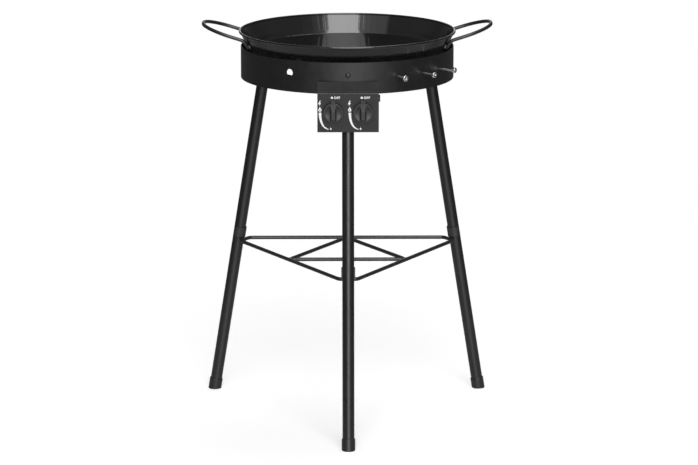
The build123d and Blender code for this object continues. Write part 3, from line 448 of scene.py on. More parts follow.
def make_materials(scene):
    """All finishes, by the name of the record's slot that they stand for."""
    coat, ink = tuple(scene.griddle_stand.coat), tuple(scene.griddle_print.ink)
    MATERIALS.update({
        "pan_enamel": pan_enamel(tuple(scene.griddle_pan.enamel)),
        "handle_black": powder_coat("handle_coat", coat, 0.3, 1400.0),
        "sheet_black": powder_coat("sheet_coat", coat, 0.36, 1100.0),
        "panel": panel_coat(coat),
        "tube_black": powder_coat("tube_coat", shade(coat, 1.15), 0.3, 1200.0),
        "clip_plastic": moulded("clip_plastic", (0.018, 0.018, 0.018), 0.45, 1500.0),
        "foot_rubber": moulded("foot_rubber", (0.01, 0.01, 0.01), 0.34, 1100.0),
        "bolt_black": powder_coat("bolt_black", (0.015, 0.015, 0.015), 0.25, 1800.0),
        "peg_bright": peg_plating((0.72, 0.72, 0.73)),
        "zinc_steel": bare_metal("zinc_plating", (0.52, 0.53, 0.55), 0.35, (1, 1, 1), 350.0),
        # dry, with brown heat marks
        "burner_black": uneven(
            "heat_coat", tuple(scene.griddle_stand.heat_coat), 0.62, (30.0, 6.0, (0.05, 0.036, 0.027)),
            gloss=(70.0, 5.0, 0.5, 0.75), skin=((700.0, 3.0, 0.25, 0.0003),),
        ),
        "knob_plastic": moulded("knob_plastic", (0.011, 0.011, 0.0115), 0.5, 1700.0),
        "valve_alloy": bare_metal("cast_alloy", (0.56, 0.56, 0.57), 0.45, (1, 1, 1), 260.0),
        "valve_brass": bare_metal("turned_brass", (0.62, 0.45, 0.19), 0.28, (1, 6, 1), 300.0),
        "bright_steel": bare_metal("drawn_steel", (0.6, 0.6, 0.61), 0.25, (1, 8, 1), 300.0),
        "igniter_plastic": moulded("igniter_plastic", (0.6, 0.59, 0.56), 0.45, 900.0),
        "lead_silicone": uneven(
            "lead_sleeve", (0.32, 0.03, 0.025), 0.45, (150.0, 3.0, (0.25, 0.022, 0.02)),
            gloss=(300.0, 3.0, 0.38, 0.55), skin=((1500.0, 2.0, 0.2, 0.0001),),
        ),
        "electrode_ceramic": uneven(
            "glazed_ceramic", (0.78, 0.76, 0.7), 0.18, (120.0, 4.0, (0.7, 0.66, 0.58)),
            gloss=(200.0, 3.0, 0.12, 0.28), skin=((500.0, 2.0, 0.1, 0.0001),),
        ),
        # painted over with the rest; their grey, lighter than the coat, is a painted highlight standing in
        # for glints on the beads
        "weld": uneven(
            "weld_metal", (0.09, 0.09, 0.092), 0.36, (300.0, 3.0, (0.2, 0.2, 0.2)),
            gloss=(400.0, 3.0, 0.3, 0.5), skin=((900.0, 2.0, 0.3, 0.0002),),
        ),
        # near-black discs as painted shade, standing in for the dark insides of the flame ports
        "port": uneven("port_soot", (0.004, 0.004, 0.004), 0.9, (800.0, 3.0, (0.012, 0.01, 0.008))),
        "ink": uneven("panel_ink", ink, 0.5, (900.0, 3.0, shade(ink, 0.9)), gloss=(500.0, 3.0, 0.42, 0.6)),
    })


def dress(*nodes):
    """Gives solids that keep their shape the finish of their slot."""
    slots = {row["node"]: row["material_slot"] for row in FRAME["record"]["subparts"]}
    for node in nodes:
        data = NODES[node].data
        data.materials.clear()
        data.materials.append(MATERIALS[slots[node]])


def dress_all(*starts):
    """Dresses each solid whose name starts in one of these ways."""
    dress(*(node for node in NODES if node.startswith(starts)))


# Shapes
def add_object(name, data):
    """A new object in the scene."""
    made = bpy.data.objects.new(name, data)
    bpy.context.scene.collection.objects.link(made)
    return made


def take_mesh(thing):
    """The finished mesh of an object, which then leaves the scene."""
    graph = bpy.context.evaluated_depsgraph_get()
    mesh = bpy.data.meshes.new_from_object(thing.evaluated_get(graph))
    bpy.data.objects.remove(thing)
    return mesh


def add_piece(name, mesh, body, replaces=(), material=None):
    """Puts a finished mesh in the scene, on its body."""
    thing = add_object(name, mesh)
    if material is not None:
        mesh.materials.clear()
        mesh.materials.append(material)
    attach(thing, body)
    if replaces:
        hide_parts(*replaces)


def mesh_from(name, work, smooth_angle=radians(35)):
    """A mesh from working geometry, smooth except at its edges."""
    bmesh.ops.remove_doubles(work, verts=work.verts, dist=1e-6)
    bmesh.ops.recalc_face_normals(work, faces=work.faces)
    mesh = bpy.data.meshes.new(name)
    work.to_mesh(mesh)
    work.free()
    mesh.shade_smooth()
    mesh.set_sharp_from_angle(angle=smooth_angle)
    return mesh


class GeometryTree(Wiring):
    """A Geometry Nodes tree with named inputs."""

    def __init__(self, name):
        super().__init__(bpy.data.node_groups.new(name, "GeometryNodeTree"))
        for way in ("INPUT", "OUTPUT"):
            self.tree.interface.new_socket("Geometry", in_out=way, socket_type="NodeSocketGeometry")
        self.start = self.node("NodeGroupInput")
        self.end = self.node("NodeGroupOutput")
        self.keys = {}

    def input(self, name, kind, default=None):
        socket = self.tree.interface.new_socket(name, in_out="INPUT", socket_type="NodeSocket" + kind)
        if default is not None:
            socket.default_value = default
        self.keys[name] = socket.identifier
        return self.start.outputs[name]

    def vector(self, x, y, z):
        return self.node("ShaderNodeCombineXYZ", {"X": x, "Y": y, "Z": z}).outputs[0]

    def line(self):
        """The route that the tree runs on, as a curve."""
        return self.node("GeometryNodeMeshToCurve", {"Mesh": self.start.outputs["Geometry"]}).outputs[0]

    def swept(self, curve, sides, radius, **more):
        """A round section along a curve."""
        inputs = {"Resolution": sides, "Radius": radius}
        ring = self.node("GeometryNodeCurvePrimitiveCircle", inputs).outputs[0]
        inputs = {"Curve": curve, "Profile Curve": ring, "Fill Caps": True, **more}
        return self.node("GeometryNodeCurveToMesh", inputs).outputs[0]

    def close(self, geometry, smooth=True):
        """Ends the tree in real geometry with its material."""
        real = self.node("GeometryNodeRealizeInstances", {"Geometry": geometry}).outputs[0]
        inputs = {"Geometry": real, "Shade Smooth": smooth}
        shaded = self.node("GeometryNodeSetShadeSmooth", inputs).outputs[0]
        material = self.input("Material", "Material")
        painted = self.node("GeometryNodeSetMaterial", {"Geometry": shaded, "Material": material})
        self.tree.links.new(painted.outputs[0], self.end.inputs[0])
        return self


def run_tree(maker, mesh, **values):
    """Runs a tree on a mesh and returns the result as a plain mesh."""
    carrier = add_object("carrier", mesh)
    modifier = carrier.modifiers.new("tree", "NODES")
    modifier.node_group = maker.tree
    for label, value in values.items():
        modifier[maker.keys[label.replace("_", " ")]] = value
    made = take_mesh(carrier)
    bpy.data.meshes.remove(mesh)
    return made


def joined(name, meshes):
    """Several meshes as one."""
    work = bmesh.new()
    for mesh in meshes:
        work.from_mesh(mesh)
    whole = bpy.data.meshes.new(name)
    work.to_mesh(whole)
    work.free()
    for material in meshes[0].materials:
        whole.materials.append(material)
    for mesh in meshes:
        bpy.data.meshes.remove(mesh)
    return whole


def route(points, bends=None, closed=False):
    """A line of points as a mesh, with the bend radius of each point."""
    count = len(points)
    edges = [(i, (i + 1) % count) for i in range(count if closed else count - 1)]
    mesh = bpy.data.meshes.new("route")
    mesh.from_pydata([tuple(point) for point in points], edges, [])
    attribute = mesh.attributes.new("bend", "FLOAT", "POINT")
    attribute.data.foreach_set("value", [float(bend) for bend in bends or [0.0] * count])
    return mesh


def wire_tree():
    """Round wire along a route, with a tangent arc at each bend."""
    tree = GeometryTree("bent_wire")
    radius = tree.input("Wire radius", "Float", 0.003)
    steps = tree.input("Bend steps", "Int", 12)
    sides = tree.input("Sides", "Int", 24)
    bend = tree.node("GeometryNodeInputNamedAttribute", {"Name": "bend"}, data_type="FLOAT").outputs[0]
    inputs = {"Curve": tree.line(), "Count": steps, "Radius": bend, "Limit Radius": True}
    rounded = tree.node("GeometryNodeFilletCurve", inputs, mode="POLY").outputs[0]
    return tree.close(tree.swept(rounded, sides, radius))


def weld_tree():
    """A weld bead along a route, with the ripples of its run."""
    tree = GeometryTree("weld_bead")
    radius = tree.input("Bead radius", "Float", 0.0017)
    ripple = tree.input("Ripple", "Float", 0.16)
    pitch = tree.input("Pitch", "Float", 0.0011)
    # four points to a ripple, a quarter turn of its wave apart
    inputs = {"Curve": tree.line(), "Length": tree.math("DIVIDE", pitch, 4.0)}
    fine = tree.node("GeometryNodeResampleCurve", inputs, mode="LENGTH").outputs[0]
    place = tree.node("GeometryNodeInputIndex").outputs[0]
    wave = tree.math("SINE", tree.math("MULTIPLY", place, pi / 2))
    scale = tree.math("ADD", 1.0, tree.math("MULTIPLY", wave, ripple))
    return tree.close(tree.swept(fine, 10, radius, Scale=scale))


def port_tree():
    """Flame ports round a ring, as flat near-black discs in two rows that paint the shade inside the holes.
    """
    tree = GeometryTree("flame_ports")
    count = tree.input("Count", "Int", 36)
    ring = tree.input("Ring radius", "Float", 0.1)
    tube = tree.input("Tube radius", "Float", 0.009)
    size = tree.input("Port radius", "Float", 0.001)
    tilt = tree.input("Tilt", "Float", radians(35))
    middle = tree.input("Middle", "Vector")
    place = tree.node("GeometryNodeInputIndex").outputs[0]
    # half a step on, so that no port lies under a pan support
    step = tree.math("DIVIDE", 2 * pi, count)
    angle = tree.math("MULTIPLY", tree.math("ADD", place, 0.5), step)
    side = tree.math("SUBTRACT", tree.math("MULTIPLY", tree.math("MODULO", place, 2.0), 2.0), 1.0)
    lean = tree.math("MULTIPLY", side, tilt)
    out = tree.math("ADD", ring, tree.math("MULTIPLY", tube, tree.math("SINE", lean)))
    up = tree.math("MULTIPLY", tube, tree.math("COSINE", lean))
    x = tree.math("MULTIPLY", out, tree.math("COSINE", angle))
    y = tree.math("MULTIPLY", out, tree.math("SINE", angle))
    offset = tree.vector_math("ADD", tree.vector(x, y, up), middle)[0]
    points = tree.node("GeometryNodePoints", {"Count": count, "Position": offset}).outputs[0]
    inputs = {"Vertices": 12, "Radius": size, "Depth": PORT_DEPTH}
    port = tree.node("GeometryNodeMeshCylinder", inputs).outputs[0]
    turn = tree.node("FunctionNodeEulerToRotation", {"Euler": tree.vector(0.0, lean, angle)}).outputs[0]
    inputs = {"Points": points, "Instance": port, "Rotation": turn}
    return tree.close(tree.node("GeometryNodeInstanceOnPoints", inputs).outputs[0], smooth=False)


def coil_tree():
    """A coil spring along Y."""
    tree = GeometryTree("wire_coil")
    radius = tree.input("Coil radius", "Float", 0.004)
    wire = tree.input("Wire radius", "Float", 0.0007)
    length = tree.input("Length", "Float", 0.005)
    turns = tree.input("Turns", "Float", 5.0)
    start = tree.input("Start", "Vector")
    inputs = {"Resolution": 20, "Rotations": turns, "Height": length}
    inputs.update({"Start Radius": radius, "End Radius": radius})
    spiral = tree.node("GeometryNodeCurveSpiral", inputs).outputs[0]
    turn = tree.node("FunctionNodeEulerToRotation", {"Euler": tree.vector(-pi / 2, 0.0, 0.0)}).outputs[0]
    inputs = {"Geometry": tree.swept(spiral, 8, wire), "Translation": start, "Rotation": turn}
    return tree.close(tree.node("GeometryNodeTransform", inputs).outputs[0])


def add_welds(name, body, runs, radius):
    """Weld beads along lines of points, as one piece."""
    tree = weld_tree()
    values = {"Bead_radius": radius, "Material": MATERIALS["weld"]}
    add_piece(name, joined(name, [run_tree(tree, route(run), **values) for run in runs]), body)


def pan_wall_r(z):
    """Outside radius of the sloping pan wall at a height."""
    return PAN_BASE_R + (z - PAN_BOTTOM_Z) * tan(PAN_DRAFT)


def handle_route(side, settings):
    """Route of a handle's wire, from one weld to the other, and the radius of its bends."""
    wire = settings.handle_wire
    half = settings.handle_width / 2
    slope = tan(settings.handle_rise)
    tip_x = settings.handle_reach - wire
    rim_x = sqrt((PAN_RIM_R - BEAD_R) ** 2 - half**2)
    rim_pass = PAN_RIM_Z - 2 * BEAD_R - HANDLE_UNDER_BEAD - wire / cos(settings.handle_rise)
    tip_z = rim_pass + (tip_x - rim_x) * slope
    stand_off = (wire + WELD_GAP) / cos(PAN_DRAFT)
    root_z = tip_z
    # settles on the height at which the sloping wire meets the sloping wall
    for _ in range(12):
        root_r = pan_wall_r(root_z) + stand_off
        root_z = tip_z - (tip_x - sqrt(root_r**2 - half**2)) * slope
    angle = asin(half / root_r)
    tail_z = root_z - HANDLE_TAIL
    tail_r = pan_wall_r(tail_z) + stand_off
    run = [
        (tail_r * cos(angle), tail_r * sin(angle), tail_z),
        (root_r * cos(angle), half, root_z),
        (tip_x, half, tip_z),
    ]
    run += [(x, -y, z) for x, y, z in reversed(run)]
    bends = [0, HANDLE_ROOT_BEND, HANDLE_TIP_BEND]
    return [at(side * x, y, z) for x, y, z in run], bends + bends[::-1]


# Operators
class GRIDDLE_OT_pan(bpy.types.Operator):
    """Enamel on the pan"""

    bl_idname = "griddle.pan"
    bl_label = "Pan"

    def execute(self, context):
        dress("pan")
        return {"FINISHED"}


class GRIDDLE_OT_handles(bpy.types.Operator):
    """Bent wire handles with their welds"""

    bl_idname = "griddle.handles"
    bl_label = "Handles"

    def execute(self, context):
        settings = context.scene.griddle_pan
        wire = settings.handle_wire
        tree, welds = wire_tree(), []
        for name, side in SIDES.items():
            points, bends = handle_route(side, settings)
            mesh = run_tree(
                tree, route(points, bends), Wire_radius=wire, Bend_steps=16, Sides=28,
                Material=MATERIALS["handle_black"],
            )
            add_piece(f"handle_{name}", mesh, "pan", [f"pan_handle_{name}"])
            for tail, root in ((points[0], points[1]), (points[-1], points[-2])):
                inward = at(0, 0, tail.z) - tail
                seat = tail + inward.normalized() * wire * HANDLE_WELD_IN
                across = Vector((0, 0, 1)).cross(inward).normalized() * wire * HANDLE_WELD_ASIDE
                for flank in (-1, 1):
                    welds.append([seat + across * flank + (root - tail) * end for end in HANDLE_WELD_ENDS])
        add_welds("handle_welds", "pan", welds, context.scene.griddle_stand.weld_radius)
        return {"FINISHED"}


class GRIDDLE_OT_shield(bpy.types.Operator):
    """Coat on the wind shield and its bolts, and bright tool pegs"""

    bl_idname = "griddle.shield"
    bl_label = "Wind shield"

    def execute(self, context):
        dress("wind_shield", "leg_bolts", "leg_nuts", "tool_pegs", "tool_peg_nuts", "panel_nuts")
        dress_all("leg_socket")
        return {"FINISHED"}


class GRIDDLE_OT_legs(bpy.types.Operator):
    """Coat on the legs and rubber on the feet"""

    bl_idname = "griddle.legs"
    bl_label = "Legs and feet"

    def execute(self, context):
        for name in LEG_ANGLES:
            dress(f"leg_{name}", f"foot_cap_{name}")
        return {"FINISHED"}


class GRIDDLE_OT_brace(bpy.types.Operator):
    """Bent wire brace with its clips and welds"""

    bl_idname = "griddle.brace"
    bl_label = "Brace"

    def execute(self, context):
        flat_r = LEG_FLOOR_R - BRACE_Z * tan(LEAN) - (LEG_R + BRACE_WIRE_R + WELD_GAP) / cos(LEAN)
        side_r = (flat_r + BRACE_HALF_FLAT / tan(radians(30))) / 2
        corner_r = side_r - 2 * BRACE_WIRE_R - WELD_GAP + BRACE_BENDS["inner"]
        corners = {"outer": [], "inner": []}
        for angle in sorted(LEG_ANGLES.values()):
            for across in (-BRACE_HALF_FLAT, BRACE_HALF_FLAT):
                corners["outer"].append(turned((across, -flat_r, BRACE_Z), angle))
            corners["inner"].append(turned((0, corner_r, BRACE_Z), angle))
        tree = wire_tree()
        for name, points in corners.items():
            mesh = run_tree(
                tree, route(points, [BRACE_BENDS[name]] * len(points), closed=True),
                Wire_radius=BRACE_WIRE_R, Bend_steps=14, Sides=24, Material=MATERIALS["tube_black"],
            )
            add_piece(f"brace_wire_{name}", mesh, "stand", [f"brace_{name}_wire"])
        welds = []
        for angle in LEG_ANGLES.values():
            for height in (BRACE_Z - BRACE_WELD_RISE, BRACE_Z + BRACE_WELD_RISE):
                welds.append([
                    turned((across, side_r - BRACE_WIRE_R, height), angle)
                    for across in (-BRACE_WELD_HALF, BRACE_WELD_HALF)
                ])
        add_welds("brace_welds", "stand", welds, BRACE_WELD_R)
        dress_all("brace_clip")
        return {"FINISHED"}


# Print on the panel, in millimetres across and up
DOT = [(2.3 * cos(2 * pi * i / 32), 2.3 * sin(2 * pi * i / 32)) for i in range(32)]
SPARK = [(2.6, 6.4), (0.2, 1.8), (3.0, 1.8), (-1.6, -6.0), (0.2, -1.0), (-3.2, -1.0), (0.2, 6.4)]
FLAME_SIDE = [(0.0, 5.0), (0.9, 3.4), (2.2, 1.4), (3.2, -0.6), (3.3, -2.4), (2.5, -4.0), (1.2, -4.8)]
FLAME_FOOT = (0.0, -5.0)
FLAME_HOLLOW = [(0.0, 0.4), (0.7, -0.8), (1.1, -1.9), (0.8, -2.8)]
FLAME_HOLLOW_FOOT = (0.0, -3.2)
WORD_PLACE = (1.5, 27.6)
# height of the capitals as a share of the font's size
CAPITAL_SHARE = 0.71
LETTER_SPACING = 1.1
LETTER_SWELL = 0.2 * MM


def small_flame(size):
    """A filled flame."""
    left = [(-x, z) for x, z in FLAME_SIDE[:0:-1]]
    return [(x * size, z * size) for x, z in FLAME_SIDE + [FLAME_FOOT] + left]


def open_flame():
    """A flame with an open heart, as two halves a hair apart."""
    right = FLAME_SIDE + [FLAME_FOOT, FLAME_HOLLOW_FOOT] + FLAME_HOLLOW[::-1]
    right = [(max(x, 0.01), z) for x, z in right]
    return [right, [(-x, z) for x, z in reversed(right)]]


def tapered_arc(start, end, bulge, widths, steps=28):
    """A curved, tapering band between two points."""
    (x0, z0), (x1, z1) = start, end
    middle = ((x0 + x1) / 2 + bulge[0], (z0 + z1) / 2 + bulge[1])
    left, right = [], []
    for step in range(steps + 1):
        t = step / steps
        x = (1 - t) ** 2 * x0 + 2 * t * (1 - t) * middle[0] + t**2 * x1
        z = (1 - t) ** 2 * z0 + 2 * t * (1 - t) * middle[1] + t**2 * z1
        dx = 2 * (1 - t) * (middle[0] - x0) + 2 * t * (x1 - middle[0])
        dz = 2 * (1 - t) * (middle[1] - z0) + 2 * t * (z1 - middle[1])
        size = sqrt(dx * dx + dz * dz)
        width = (widths[0] * (1 - t) + widths[1] * t) / 2
        left.append((x - dz / size * width, z + dx / size * width))
        right.append((x + dz / size * width, z - dx / size * width))
    return left + right[::-1]


def panel_marks():
    """Outlines of the marks round a tap, from its axis."""
    arc = tapered_arc((-27.2, -1.0), (-9.6, -36.0), bulge=(-8.4, -13.4), widths=(5.4, 1.6))
    placed = [(DOT, -2.6, 30.0), (SPARK, -28.0, 17.4)]
    placed += [(half, -27.4, 5.8) for half in open_flame()]
    placed += [(arc, 0.0, 0.0), (small_flame(0.52), -5.0, -34.6)]
    return [[(x + right, z + up) for x, z in outline] for outline, right, up in placed]


def flat_print(name, outlines, depth):
    """Print as thin closed prisms on the panel's face, from outlines in metres across and up."""
    work = bmesh.new()
    for outline in outlines:
        face = work.faces.new([work.verts.new((x, PANEL_FACE_Y, z)) for x, z in outline])
        pushed = bmesh.ops.extrude_face_region(work, geom=[face])
        moved = [item for item in pushed["geom"] if isinstance(item, bmesh.types.BMVert)]
        bmesh.ops.translate(work, vec=(0, -depth, 0), verts=moved)
    bmesh.ops.triangulate(work, faces=work.faces)
    return mesh_from(name, work)


def printed_word(word, x, z, settings):
    """A printed word as a thin mesh on the panel's face."""
    curve = bpy.data.curves.new("word", "FONT")
    curve.body = word
    curve.size = settings.letter_height / CAPITAL_SHARE
    curve.extrude = settings.ink_thickness / 2
    curve.offset = LETTER_SWELL
    curve.space_character = LETTER_SPACING
    mesh = take_mesh(add_object("word", curve))
    place = Matrix.Translation((x, PANEL_FACE_Y - settings.ink_thickness / 2, z))
    mesh.transform(place @ Matrix.Rotation(pi / 2, 4, "X"))
    return mesh


class GRIDDLE_OT_panel(bpy.types.Operator):
    """Coat and print of the control panel"""

    bl_idname = "griddle.panel"
    bl_label = "Control panel"

    def execute(self, context):
        settings = context.scene.griddle_print
        dress("control_panel")
        NODES["control_panel"].data.materials[0] = MATERIALS["panel"]
        right, up = WORD_PLACE
        for name, side in SIDES.items():
            middle = side * TAP_X
            marks = [[(middle + x * MM, TAP_Z + z * MM) for x, z in outline] for outline in panel_marks()]
            mesh = flat_print(f"panel_marks_{name}", marks, settings.ink_thickness)
            add_piece(f"panel_marks_{name}", mesh, "stand", material=MATERIALS["ink"])
            mesh = printed_word("OFF", middle + right * MM, TAP_Z + up * MM, settings)
            add_piece(f"panel_word_{name}", mesh, "stand", material=MATERIALS["ink"])
        return {"FINISHED"}


class GRIDDLE_OT_taps(bpy.types.Operator):
    """Finishes of the taps, the gas pipe and the knobs, and the coils of the return springs"""

    bl_idname = "griddle.taps"
    bl_label = "Taps and knobs"

    def execute(self, context):
        dress_all("valve_", "knob_", "bonnet_nuts", "gas_")
        tree = coil_tree()
        for name, side in SIDES.items():
            low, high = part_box(f"return_spring_{name}")
            mesh = run_tree(
                tree, bpy.data.meshes.new("empty"), Coil_radius=(high.x - low.x) / 2 - SPRING_WIRE_R,
                Wire_radius=SPRING_WIRE_R, Length=high.y - low.y - 2 * SPRING_WIRE_R, Turns=SPRING_TURNS,
                Start=(side * TAP_X, low.y + SPRING_WIRE_R, TAP_Z), Material=MATERIALS["bright_steel"],
            )
            add_piece(f"spring_coil_{name}", mesh, f"knob_{name}", [f"return_spring_{name}"])
        return {"FINISHED"}


class GRIDDLE_OT_burner(bpy.types.Operator):
    """Finishes of the burner and the pan supports, flame ports as discs of painted shade, and welds"""

    bl_idname = "griddle.burner"
    bl_label = "Burner"

    def execute(self, context):
        settings = context.scene.griddle_stand
        dress_all("burner_ring", "feed_tube", "pan_support")
        tree = port_tree()
        counts = {"outer": settings.ports_outer, "inner": settings.ports_inner}
        for name, ring_r in RING_RADII.items():
            mesh = run_tree(
                tree, bpy.data.meshes.new("empty"), Count=counts[name], Ring_radius=ring_r,
                Tube_radius=RING_TUBE_R, Port_radius=settings.port_radius, Tilt=PORT_TILT,
                Middle=at(0, 0, RING_Z), Material=MATERIALS["port"],
            )
            add_piece(f"flame_ports_{name}", mesh, "stand")
        welds = []
        turns = [step * SUPPORT_WELD_STEP for step in range(-4, 5)]
        for angle in LEG_ANGLES.values():
            for ring_r in RING_RADII.values():
                arc = [(ring_r + RING_TUBE_R * sin(turn), RING_Z + RING_TUBE_R * cos(turn)) for turn in turns]
                for across in (-SUPPORT_WELD_ASIDE, SUPPORT_WELD_ASIDE):
                    welds.append([turned((across, -r, z), angle) for r, z in arc])
        add_welds("burner_welds", "stand", welds, SUPPORT_WELD_R)
        return {"FINISHED"}


class GRIDDLE_OT_ignition(bpy.types.Operator):
    """Igniters, electrodes and the leads between them"""

    bl_idname = "griddle.ignition"
    bl_label = "Ignition"

    def execute(self, context):
        dress_all("igniter", "electrode")
        for name, side in SIDES.items():
            start_x, start_z = side * TAP_X, TAP_Z - IGNITER_DROP
            end_x = side * ELECTRODE_X
            points = [
                at(start_x, IGNITER_BACK_Y, start_z),
                at(start_x, IGNITER_BACK_Y + LEAD_STRAIGHT, start_z),
                at((start_x + end_x) / 2, ELECTRODE_Y - LEAD_SWING, start_z),
                at(end_x, ELECTRODE_Y, ELECTRODE_FOOT_Z - LEAD_RISE),
                at(end_x, ELECTRODE_Y, ELECTRODE_FOOT_Z),
            ]
            curve = bpy.data.curves.new(f"lead_{name}", "CURVE")
            curve.dimensions = "3D"
            curve.bevel_depth = LEAD_R
            curve.bevel_resolution = 4
            curve.use_fill_caps = True
            spline = curve.splines.new("NURBS")
            spline.points.add(len(points) - 1)
            for spot, point in zip(spline.points, points):
                spot.co = (*point, 1.0)
            spline.order_u = 3
            spline.use_endpoint_u = True
            spline.resolution_u = 12
            curve.materials.append(MATERIALS["lead_silicone"])
            lead = add_object(f"lead_{name}", curve)
            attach(lead, "stand")
            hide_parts(f"ignition_lead_{name}")
        return {"FINISHED"}


# Stage
WHITE = (1.0, 1.0, 1.0, 1.0)
SENSOR_WIDTH = 36.0
FLOOR_HALF = (1.18, 2.0)
# light that lifts the floor for the camera, at its middle and per metre behind that
FLOOR_LIFT, FLOOR_LIFT_SLOPE = 0.5, 0.035
# light of the mirrored floor at the sides, what the front adds, and the steepest ray that meets it
FLOOR_SIDES, FLOOR_FRONT, FLOOR_STEEPEST = 0.42, 0.95, 0.6
# heading and half width of the room's pale front, as angles, and its light
FRONT_HEADING, FRONT_WIDTH, FRONT_LIGHT = 0.12, 0.5, 0.95
# where the room's back wall and its upper part start and are full, and their least and most light
BACK_WALL = (0.955, 1.0, 0.1, 1.0)
UPPER_ROOM = (0.25, 0.45, 0.0, 0.12)
EVEN_LIGHT = 0.2
AIM_HEIGHT = 0.7
# distance, heading and height as angles, size across and up, and radiance
LIGHTS = {
    "key_box": (9.5, 0.09, 0.47, (6.0, 8.2), 5.2),
    "upper_box": (9.5, 0.09, 1.01, (6.0, 3.0), 2.6),
    "side_box": (9.5, -0.59, 0.62, (5.4, 3.6), 0.55),
    "top_box": (3.0, 2.6, 1.2, (1.6, 1.6), 3.0),
}


def front_lobe(wiring, across, ahead):
    """One for a ray that heads to the pale front of the room, falling off to both sides."""
    azimuth = wiring.math("ARCTAN2", across, ahead)
    offset = wiring.math("DIVIDE", wiring.math("SUBTRACT", azimuth, FRONT_HEADING), FRONT_WIDTH)
    return wiring.math("EXPONENT", wiring.math("MULTIPLY", wiring.math("POWER", offset, 2.0), -1.0))


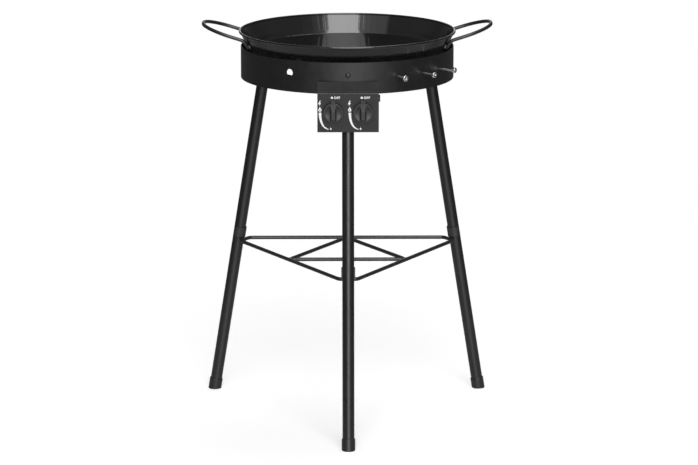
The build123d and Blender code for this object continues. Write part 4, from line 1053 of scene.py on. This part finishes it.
class GRIDDLE_OT_stage(bpy.types.Operator):
    """Floor, lights, background and camera"""

    bl_idname = "griddle.stage"
    bl_label = "Stage"

    def execute(self, context):
        scene = context.scene
        settings = scene.griddle_studio
        scene.view_settings.view_transform = "Standard"
        self.add_floor(settings)
        self.add_world(scene)
        self.add_lights()
        self.add_camera(scene, settings)
        return {"FINISHED"}

    def add_floor(self, settings):
        """A pale floor, lifted towards white for the camera and mirrored as the room's front is."""
        work = bmesh.new()
        bmesh.ops.create_grid(work, x_segments=8, y_segments=8, size=1.0)
        bmesh.ops.scale(work, vec=(*FLOOR_HALF, 1.0), verts=work.verts)
        mesh = mesh_from("floor", work)
        finish = Finish("floor_pale", settings.floor, 0.95)
        # not sampled as a lamp, since only camera and mirror rays meet its light
        finish.material.cycles.emission_sampling = "NONE"
        finish.set("Specular IOR Level", 0.0)
        finish.set("Emission Color", WHITE)
        path = finish.node("ShaderNodeLightPath").outputs
        lift = finish.math("MULTIPLY_ADD", finish.split(finish.coords)["Y"], FLOOR_LIFT_SLOPE, FLOOR_LIFT)
        finish.link(finish.math("MULTIPLY", path["Is Camera Ray"], lift), "Emission Strength")
        back = finish.split(finish.node("ShaderNodeNewGeometry").outputs["Incoming"])
        lobe = front_lobe(finish, finish.math("MULTIPLY", back["X"], -1.0), back["Y"])
        light = finish.math("MULTIPLY_ADD", lobe, FLOOR_FRONT, FLOOR_SIDES)
        glow = finish.node("ShaderNodeEmission", {"Strength": light}).outputs[0]
        shallow = finish.math("LESS_THAN", back["Z"], FLOOR_STEEPEST)
        mirrored = finish.math("MULTIPLY", path["Is Glossy Ray"], shallow)
        mix = finish.node("ShaderNodeMixShader", {0: mirrored, 1: finish.shader.outputs[0], 2: glow})
        finish.tree.links.new(mix.outputs[0], finish.tree.nodes["Material Output"].inputs["Surface"])
        mesh.materials.append(finish.material)
        floor = add_object("floor", mesh)

    def add_world(self, scene):
        """White for the camera, an even light on the object, and for reflections a room that is
        white behind the object and in front of it, grey above and dark at its sides."""
        world = bpy.data.worlds.new("studio")
        scene.world = world
        world.use_nodes = True
        wiring = Wiring(world.node_tree)
        path = wiring.node("ShaderNodeLightPath").outputs
        heading = wiring.split(wiring.node("ShaderNodeTexCoord").outputs["Generated"])
        lobe = front_lobe(wiring, heading["X"], wiring.math("MULTIPLY", heading["Y"], -1.0))
        front = wiring.math("MULTIPLY", lobe, FRONT_LIGHT)
        walls = wiring.math("ADD", front, wiring.ranged(heading["Y"], *BACK_WALL, "SMOOTHSTEP"))
        room = wiring.math("ADD", walls, wiring.ranged(heading["Z"], *UPPER_ROOM, "SMOOTHSTEP"))
        mirrored = wiring.math("MULTIPLY", room, path["Is Glossy Ray"])
        direct = wiring.math("MAXIMUM", path["Is Camera Ray"], path["Is Transmission Ray"])
        shown = wiring.math("MAXIMUM", mirrored, direct)
        unseen = wiring.math("SUBTRACT", 1.0, wiring.math("MAXIMUM", direct, path["Is Glossy Ray"]))
        strength = wiring.math("ADD", shown, wiring.math("MULTIPLY", unseen, EVEN_LIGHT))
        background = wiring.tree.nodes["Background"].inputs
        background["Color"].default_value = WHITE
        wiring.tree.links.new(strength, background["Strength"])

    def add_lights(self):
        """A broad box over the camera, weaker ones above it and at its left, and a small one high
        behind the object."""
        aim = at(0, 0, AIM_HEIGHT)
        for name, (distance, azimuth, elevation, size, radiance) in LIGHTS.items():
            lamp = bpy.data.lights.new(name, "AREA")
            lamp.shape = "RECTANGLE"
            lamp.size, lamp.size_y = size
            lamp.energy = radiance * pi * size[0] * size[1]
            holder = add_object(name, lamp)
            across, up = distance * cos(elevation), distance * sin(elevation)
            holder.location = aim + Vector((across * sin(azimuth), -across * cos(azimuth), up))
            holder.rotation_euler = (aim - holder.location).to_track_quat("-Z", "Y").to_euler()

    def add_camera(self, scene, settings):
        data = bpy.data.cameras.new("camera")
        data.lens = settings.lens
        data.sensor_width = SENSOR_WIDTH
        data.shift_x = settings.shift
        data.clip_end = 100.0
        holder = add_object("camera", data)
        distance, yaw = settings.distance, settings.yaw
        holder.location = at(-distance * sin(yaw), -distance * cos(yaw), settings.height)
        holder.rotation_euler = (pi / 2 - settings.pitch, 0.0, -yaw)
        scene.camera = holder


class GRIDDLE_PT_pieces(bpy.types.Panel):
    """Lists the pieces and their settings"""

    bl_idname = "GRIDDLE_PT_pieces"
    bl_label = "Griddle Pan on a Gas Stand"
    bl_space_type = "VIEW_3D"
    bl_region_type = "UI"
    bl_category = "Griddle"

    def draw(self, context):
        for name, kind in SETTINGS.items():
            box = self.layout.box()
            for key in kind.__annotations__:
                box.prop(getattr(context.scene, name), key)
        for piece in PIECES:
            self.layout.operator(piece.bl_idname)


PIECES = (
    GRIDDLE_OT_stage,
    GRIDDLE_OT_ignition,
    GRIDDLE_OT_pan,
    GRIDDLE_OT_handles,
    GRIDDLE_OT_shield,
    GRIDDLE_OT_legs,
    GRIDDLE_OT_brace,
    GRIDDLE_OT_panel,
    GRIDDLE_OT_taps,
    GRIDDLE_OT_burner,
)
CLASSES = (*SETTINGS.values(), *PIECES, GRIDDLE_PT_pieces)


def register():
    for kind in CLASSES:
        bpy.utils.register_class(kind)
    for name, kind in SETTINGS.items():
        setattr(bpy.types.Scene, name, bpy.props.PointerProperty(type=kind))


def unregister():
    for name in SETTINGS:
        delattr(bpy.types.Scene, name)
    for kind in reversed(CLASSES):
        bpy.utils.unregister_class(kind)


def main():
    register()
    make_materials(bpy.context.scene)
    for piece in PIECES:
        group, name = piece.bl_idname.split(".")
        getattr(getattr(bpy.ops, group), name)()


if __name__ == "__main__":
    main()
